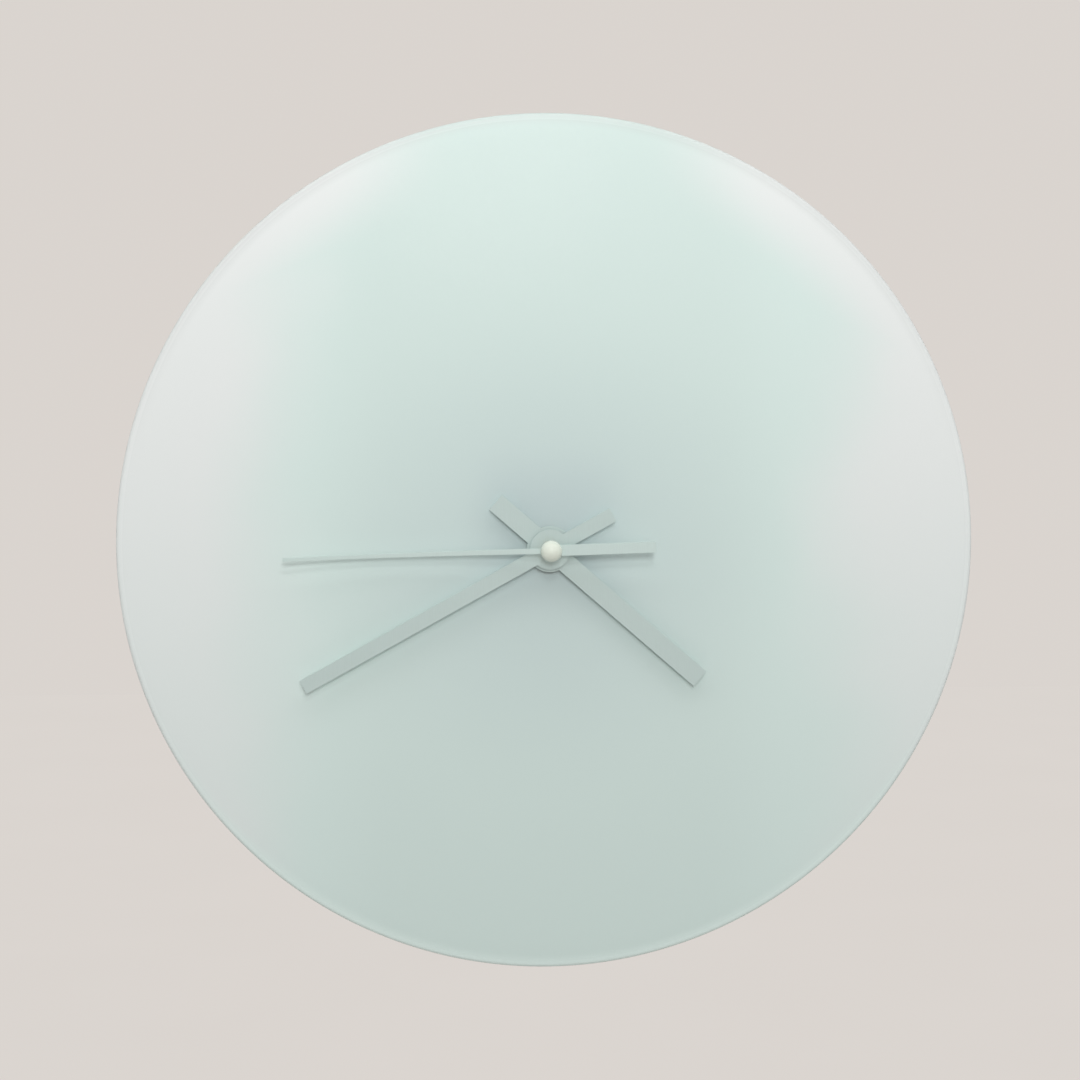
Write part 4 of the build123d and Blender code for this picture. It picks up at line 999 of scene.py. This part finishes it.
class CLOCK_OT_battery(bpy.types.Operator):
    """Turns the battery with its crimped ends and plain sleeve"""
    bl_idname = "clock.battery"
    bl_label = "Battery"

    def execute(self, context):
        movement = context.scene.clock_movement
        low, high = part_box("battery_cell")
        middle = (low + high) / 2
        size = high.x - low.x
        radius = (high.z - low.z) / 2
        button_rise, corner_steps = 1.0 * MM, 4
        can = size - button_rise
        dish, foot, foot_round = 0.25 * MM, radius - 0.6 * MM, 0.5 * MM
        crimp, crimp_round = radius - 0.85 * MM, 0.6 * MM
        button, button_round = 2.45 * MM, 0.3 * MM
        sunk = radius - 0.1 * MM
        profile = [
            (POINT, dish), (4.9 * MM, dish), (5.3 * MM, 0.0), (foot, 0.0),
            *arc(foot, foot_round, foot_round, -60, 0, corner_steps),
            (sunk, 1.1 * MM), (radius, 1.2 * MM), (radius, can - 1.3 * MM),
            (sunk, can - 1.15 * MM), (radius - 0.25 * MM, can - 0.9 * MM),
            *arc(crimp, can - crimp_round, crimp_round, 0, 90, corner_steps),
            (3.4 * MM, can), (2.85 * MM, can + 0.15 * MM), (2.75 * MM, can + 0.35 * MM),
            *arc(button, size - button_round, button_round, 0, 90, corner_steps), (POINT, size),
        ]
        piece = turned("battery_can", profile, segments=96, closed=False)
        set_in_place(piece, Vector((low.x, middle.y, middle.z)), (0, 0, math.pi / 2))
        nickel = brushed_finish(
            "battery_nickel", (0.66, 0.65, 0.63), roughness=0.24, stretch=(1.0, 1.0, 1.0)
        )
        paint(piece, nickel, sleeve_finish(movement, low.x, high.x))
        sleeve_low, sleeve_high = low.x + 1.05 * MM, low.x + can - 1.1 * MM
        paint_where(piece, 1, lambda spot, normal: sleeve_low < spot.x < sleeve_high)
        seat(piece, "battery", "battery_cell")
        return {"FINISHED"}


class CLOCK_OT_inner_works(bpy.types.Operator):
    """Finishes the train, the motor, the circuit and the contacts"""
    bl_idname = "clock.inner_works"
    bl_label = "Inner Works"

    def execute(self, context):
        movement = context.scene.clock_movement
        steel = brushed_finish("bright_steel", (0.62, 0.62, 0.63), roughness=0.22)
        iron = brushed_finish("stamped_iron", (0.46, 0.46, 0.46), roughness=0.36)
        plate = moulded_finish("plate_black", movement.black, roughness=0.5, texture=0.00002, scale=2800.0)
        ivory = moulded_finish("wheel_ivory", movement.wheel, roughness=0.42, texture=0.00001, scale=2600.0)
        magnet = moulded_finish(
            "ground_magnet", (0.09, 0.09, 0.10), roughness=0.45, texture=0.00001, scale=3000.0
        )
        resin = moulded_finish(
            "resin_drop", (0.012, 0.012, 0.013), roughness=0.2, texture=0.00001, scale=900.0
        )
        nickel = brushed_finish("nickel_strip", (0.66, 0.64, 0.60), roughness=0.26)
        wheels = (
            "second_wheel", "third_wheel", "centre_wheel", "motion_wheel", "hour_wheel",
            "intermediate_wheel", "rotor", "setting_stem", "coil_bobbin",
        )
        finishes = [
            (("train_plate",), plate),
            (wheels, ivory),
            (("second_arbor", "plate_screws", "quartz_crystal"), steel),
            (("rotor_magnet",), magnet),
            (("stator", "coil_core"), iron),
            (("coil_winding",), winding_finish()),
            (("circuit_board",), board_finish()),
            (("clock_chip",), resin),
            (("negative_contact", "positive_contact"), nickel),
        ]
        for nodes, finish in finishes:
            for node in nodes:
                paint(frame["nodes"][node], finish)
        return {"FINISHED"}


# Stage

CLIP_START = 0.01
FLOOR_SIZE, FLOOR_DROP = 12, 1.1
# Share of the stronger rear lamp's power that the left one has
REAR_LEFT_SHARE = 0.6


def lamp(name, size, size_y, watts, where, target, mirrored):
    """Soft area lamp that points at a target: a rectangle where it has a second size, or else a disc."""
    bpy.ops.object.light_add(type="AREA", location=where)
    light = bpy.context.object
    light.name = name
    light.data.shape = "RECTANGLE" if size_y else "DISK"
    light.data.size = size
    if size_y:
        light.data.size_y = size_y
    light.data.energy = watts
    light.visible_camera = False
    light.visible_glossy = mirrored
    light.rotation_euler = (target - where).to_track_quat("-Z", "Y").to_euler()


class CLOCK_OT_stage(bpy.types.Operator):
    """Sets the camera, the lamps, the floor and the pale surroundings"""
    bl_idname = "clock.stage"
    bl_label = "Stage"

    def execute(self, context):
        stage = context.scene.clock_stage
        dial_face = Vector((AXIS.x, GLASS_LOW.y, AXIS.z))
        self.set_camera(context, stage, dial_face)
        self.set_lamps(stage, dial_face)
        self.set_surroundings(context, stage)
        context.scene.view_settings.view_transform = "Standard"
        return {"FINISHED"}

    def set_camera(self, context, stage, dial_face):
        aim = dial_face + Vector(stage.camera_aim)
        turn, rise = stage.camera_azimuth, stage.camera_elevation
        back = Vector((math.sin(turn) * math.cos(rise), -math.cos(turn) * math.cos(rise), math.sin(rise)))
        bpy.ops.object.camera_add(location=aim + back * stage.camera_distance)
        camera = context.object
        camera.rotation_euler = (-back).to_track_quat("-Z", "Y").to_euler()
        camera.data.lens = stage.camera_lens
        camera.data.clip_start = CLIP_START
        context.scene.camera = camera

    def set_lamps(self, stage, dial_face):
        """Each lamp: name, sizes, power, place from the dial, and whether glossy surfaces mirror it."""
        rear = stage.rear_power
        lamps = [
            ("key_lamp", 0.24, None, stage.key_power, (0.0, -1.06, 0.285), False),
            ("high_lamp", 0.10, None, stage.high_power, (0.0, -0.69, 0.41), True),
            ("side_lamp", 0.10, 0.5, stage.side_power, (-0.30, -0.12, 0.05), False),
            ("side_lamp", 0.10, 0.5, stage.side_power, (0.30, -0.12, 0.05), False),
            ("low_lamp", 0.5, 0.2, stage.low_power, (0.0, -0.30, -0.50), False),
            ("rear_lamp", 0.4, None, rear * REAR_LEFT_SHARE, (-0.45, 1.05, 0.45), False),
            ("rear_lamp", 0.4, None, rear, (0.45, 1.05, 0.45), False),
            ("sheen_lamp", 0.2, None, stage.sheen_power, (-0.10, 1.05, 0.12), True),
            ("top_lamp", 0.7, 0.16, stage.top_power, (0.0, -0.15, 0.32), False),
        ]
        for name, size, size_y, watts, offset, mirrored in lamps:
            lamp(name, size, size_y, watts, dial_face + Vector(offset), dial_face, mirrored)

    def set_surroundings(self, context, stage):
        bpy.ops.object.select_all(action="DESELECT")
        bpy.ops.mesh.primitive_plane_add(size=FLOOR_SIZE, location=(0, 0, -FLOOR_DROP))
        floor = context.object
        floor.name = "pale_floor"
        paint(floor, floor_finish(stage))
        world = bpy.data.worlds.new("pale_room")
        context.scene.world = world
        world.use_nodes = True
        graph = Graph(world.node_tree)
        room = graph.node("ShaderNodeBackground", None, (1, 1, 1), stage.ambient)
        shown = graph.node("ShaderNodeBackground", None, stage.backdrop, 1.0)
        graph.feed(graph.tree.nodes["World Output"].inputs[0], graph.blend(graph.seen(), room, shown))


PIECES = (
    CLOCK_OT_glass_dial,
    CLOCK_OT_hour_minute_hands,
    CLOCK_OT_second_hand,
    CLOCK_OT_centre_cap,
    CLOCK_OT_hub_fittings,
    CLOCK_OT_movement_shell,
    CLOCK_OT_setting_knob,
    CLOCK_OT_battery,
    CLOCK_OT_inner_works,
    CLOCK_OT_stage,
)


class CLOCK_PT_sidebar(bpy.types.Panel):
    """Lists the pieces of the clock and their sizes"""
    bl_idname = "CLOCK_PT_sidebar"
    bl_label = "Wall Clock"
    bl_space_type = "VIEW_3D"
    bl_region_type = "UI"
    bl_category = "Clock"

    def draw(self, context):
        for piece in PIECES:
            self.layout.operator(piece.bl_idname)
        for name, settings in SETTINGS.items():
            box = self.layout.box()
            for key in settings.__annotations__:
                box.prop(getattr(context.scene, name), key)


SETTINGS = {
    "clock_dial": ClockDialSettings,
    "clock_hands": ClockHandSettings,
    "clock_movement": ClockMovementSettings,
    "clock_stage": ClockStageSettings,
}
CLASSES = (*SETTINGS.values(), *PIECES, CLOCK_PT_sidebar)


def register():
    for item in CLASSES:
        bpy.utils.register_class(item)
    for name, settings in SETTINGS.items():
        setattr(bpy.types.Scene, name, bpy.props.PointerProperty(type=settings))


def unregister():
    for name in SETTINGS:
        delattr(bpy.types.Scene, name)
    for item in reversed(CLASSES):
        bpy.utils.unregister_class(item)


def main():
    register()
    bpy.ops.clock.glass_dial()
    bpy.ops.clock.hour_minute_hands()
    bpy.ops.clock.second_hand()
    bpy.ops.clock.centre_cap()
    bpy.ops.clock.hub_fittings()
    bpy.ops.clock.movement_shell()
    bpy.ops.clock.setting_knob()
    bpy.ops.clock.battery()
    bpy.ops.clock.inner_works()
    bpy.ops.clock.stage()


if __name__ == "__main__":
    main()
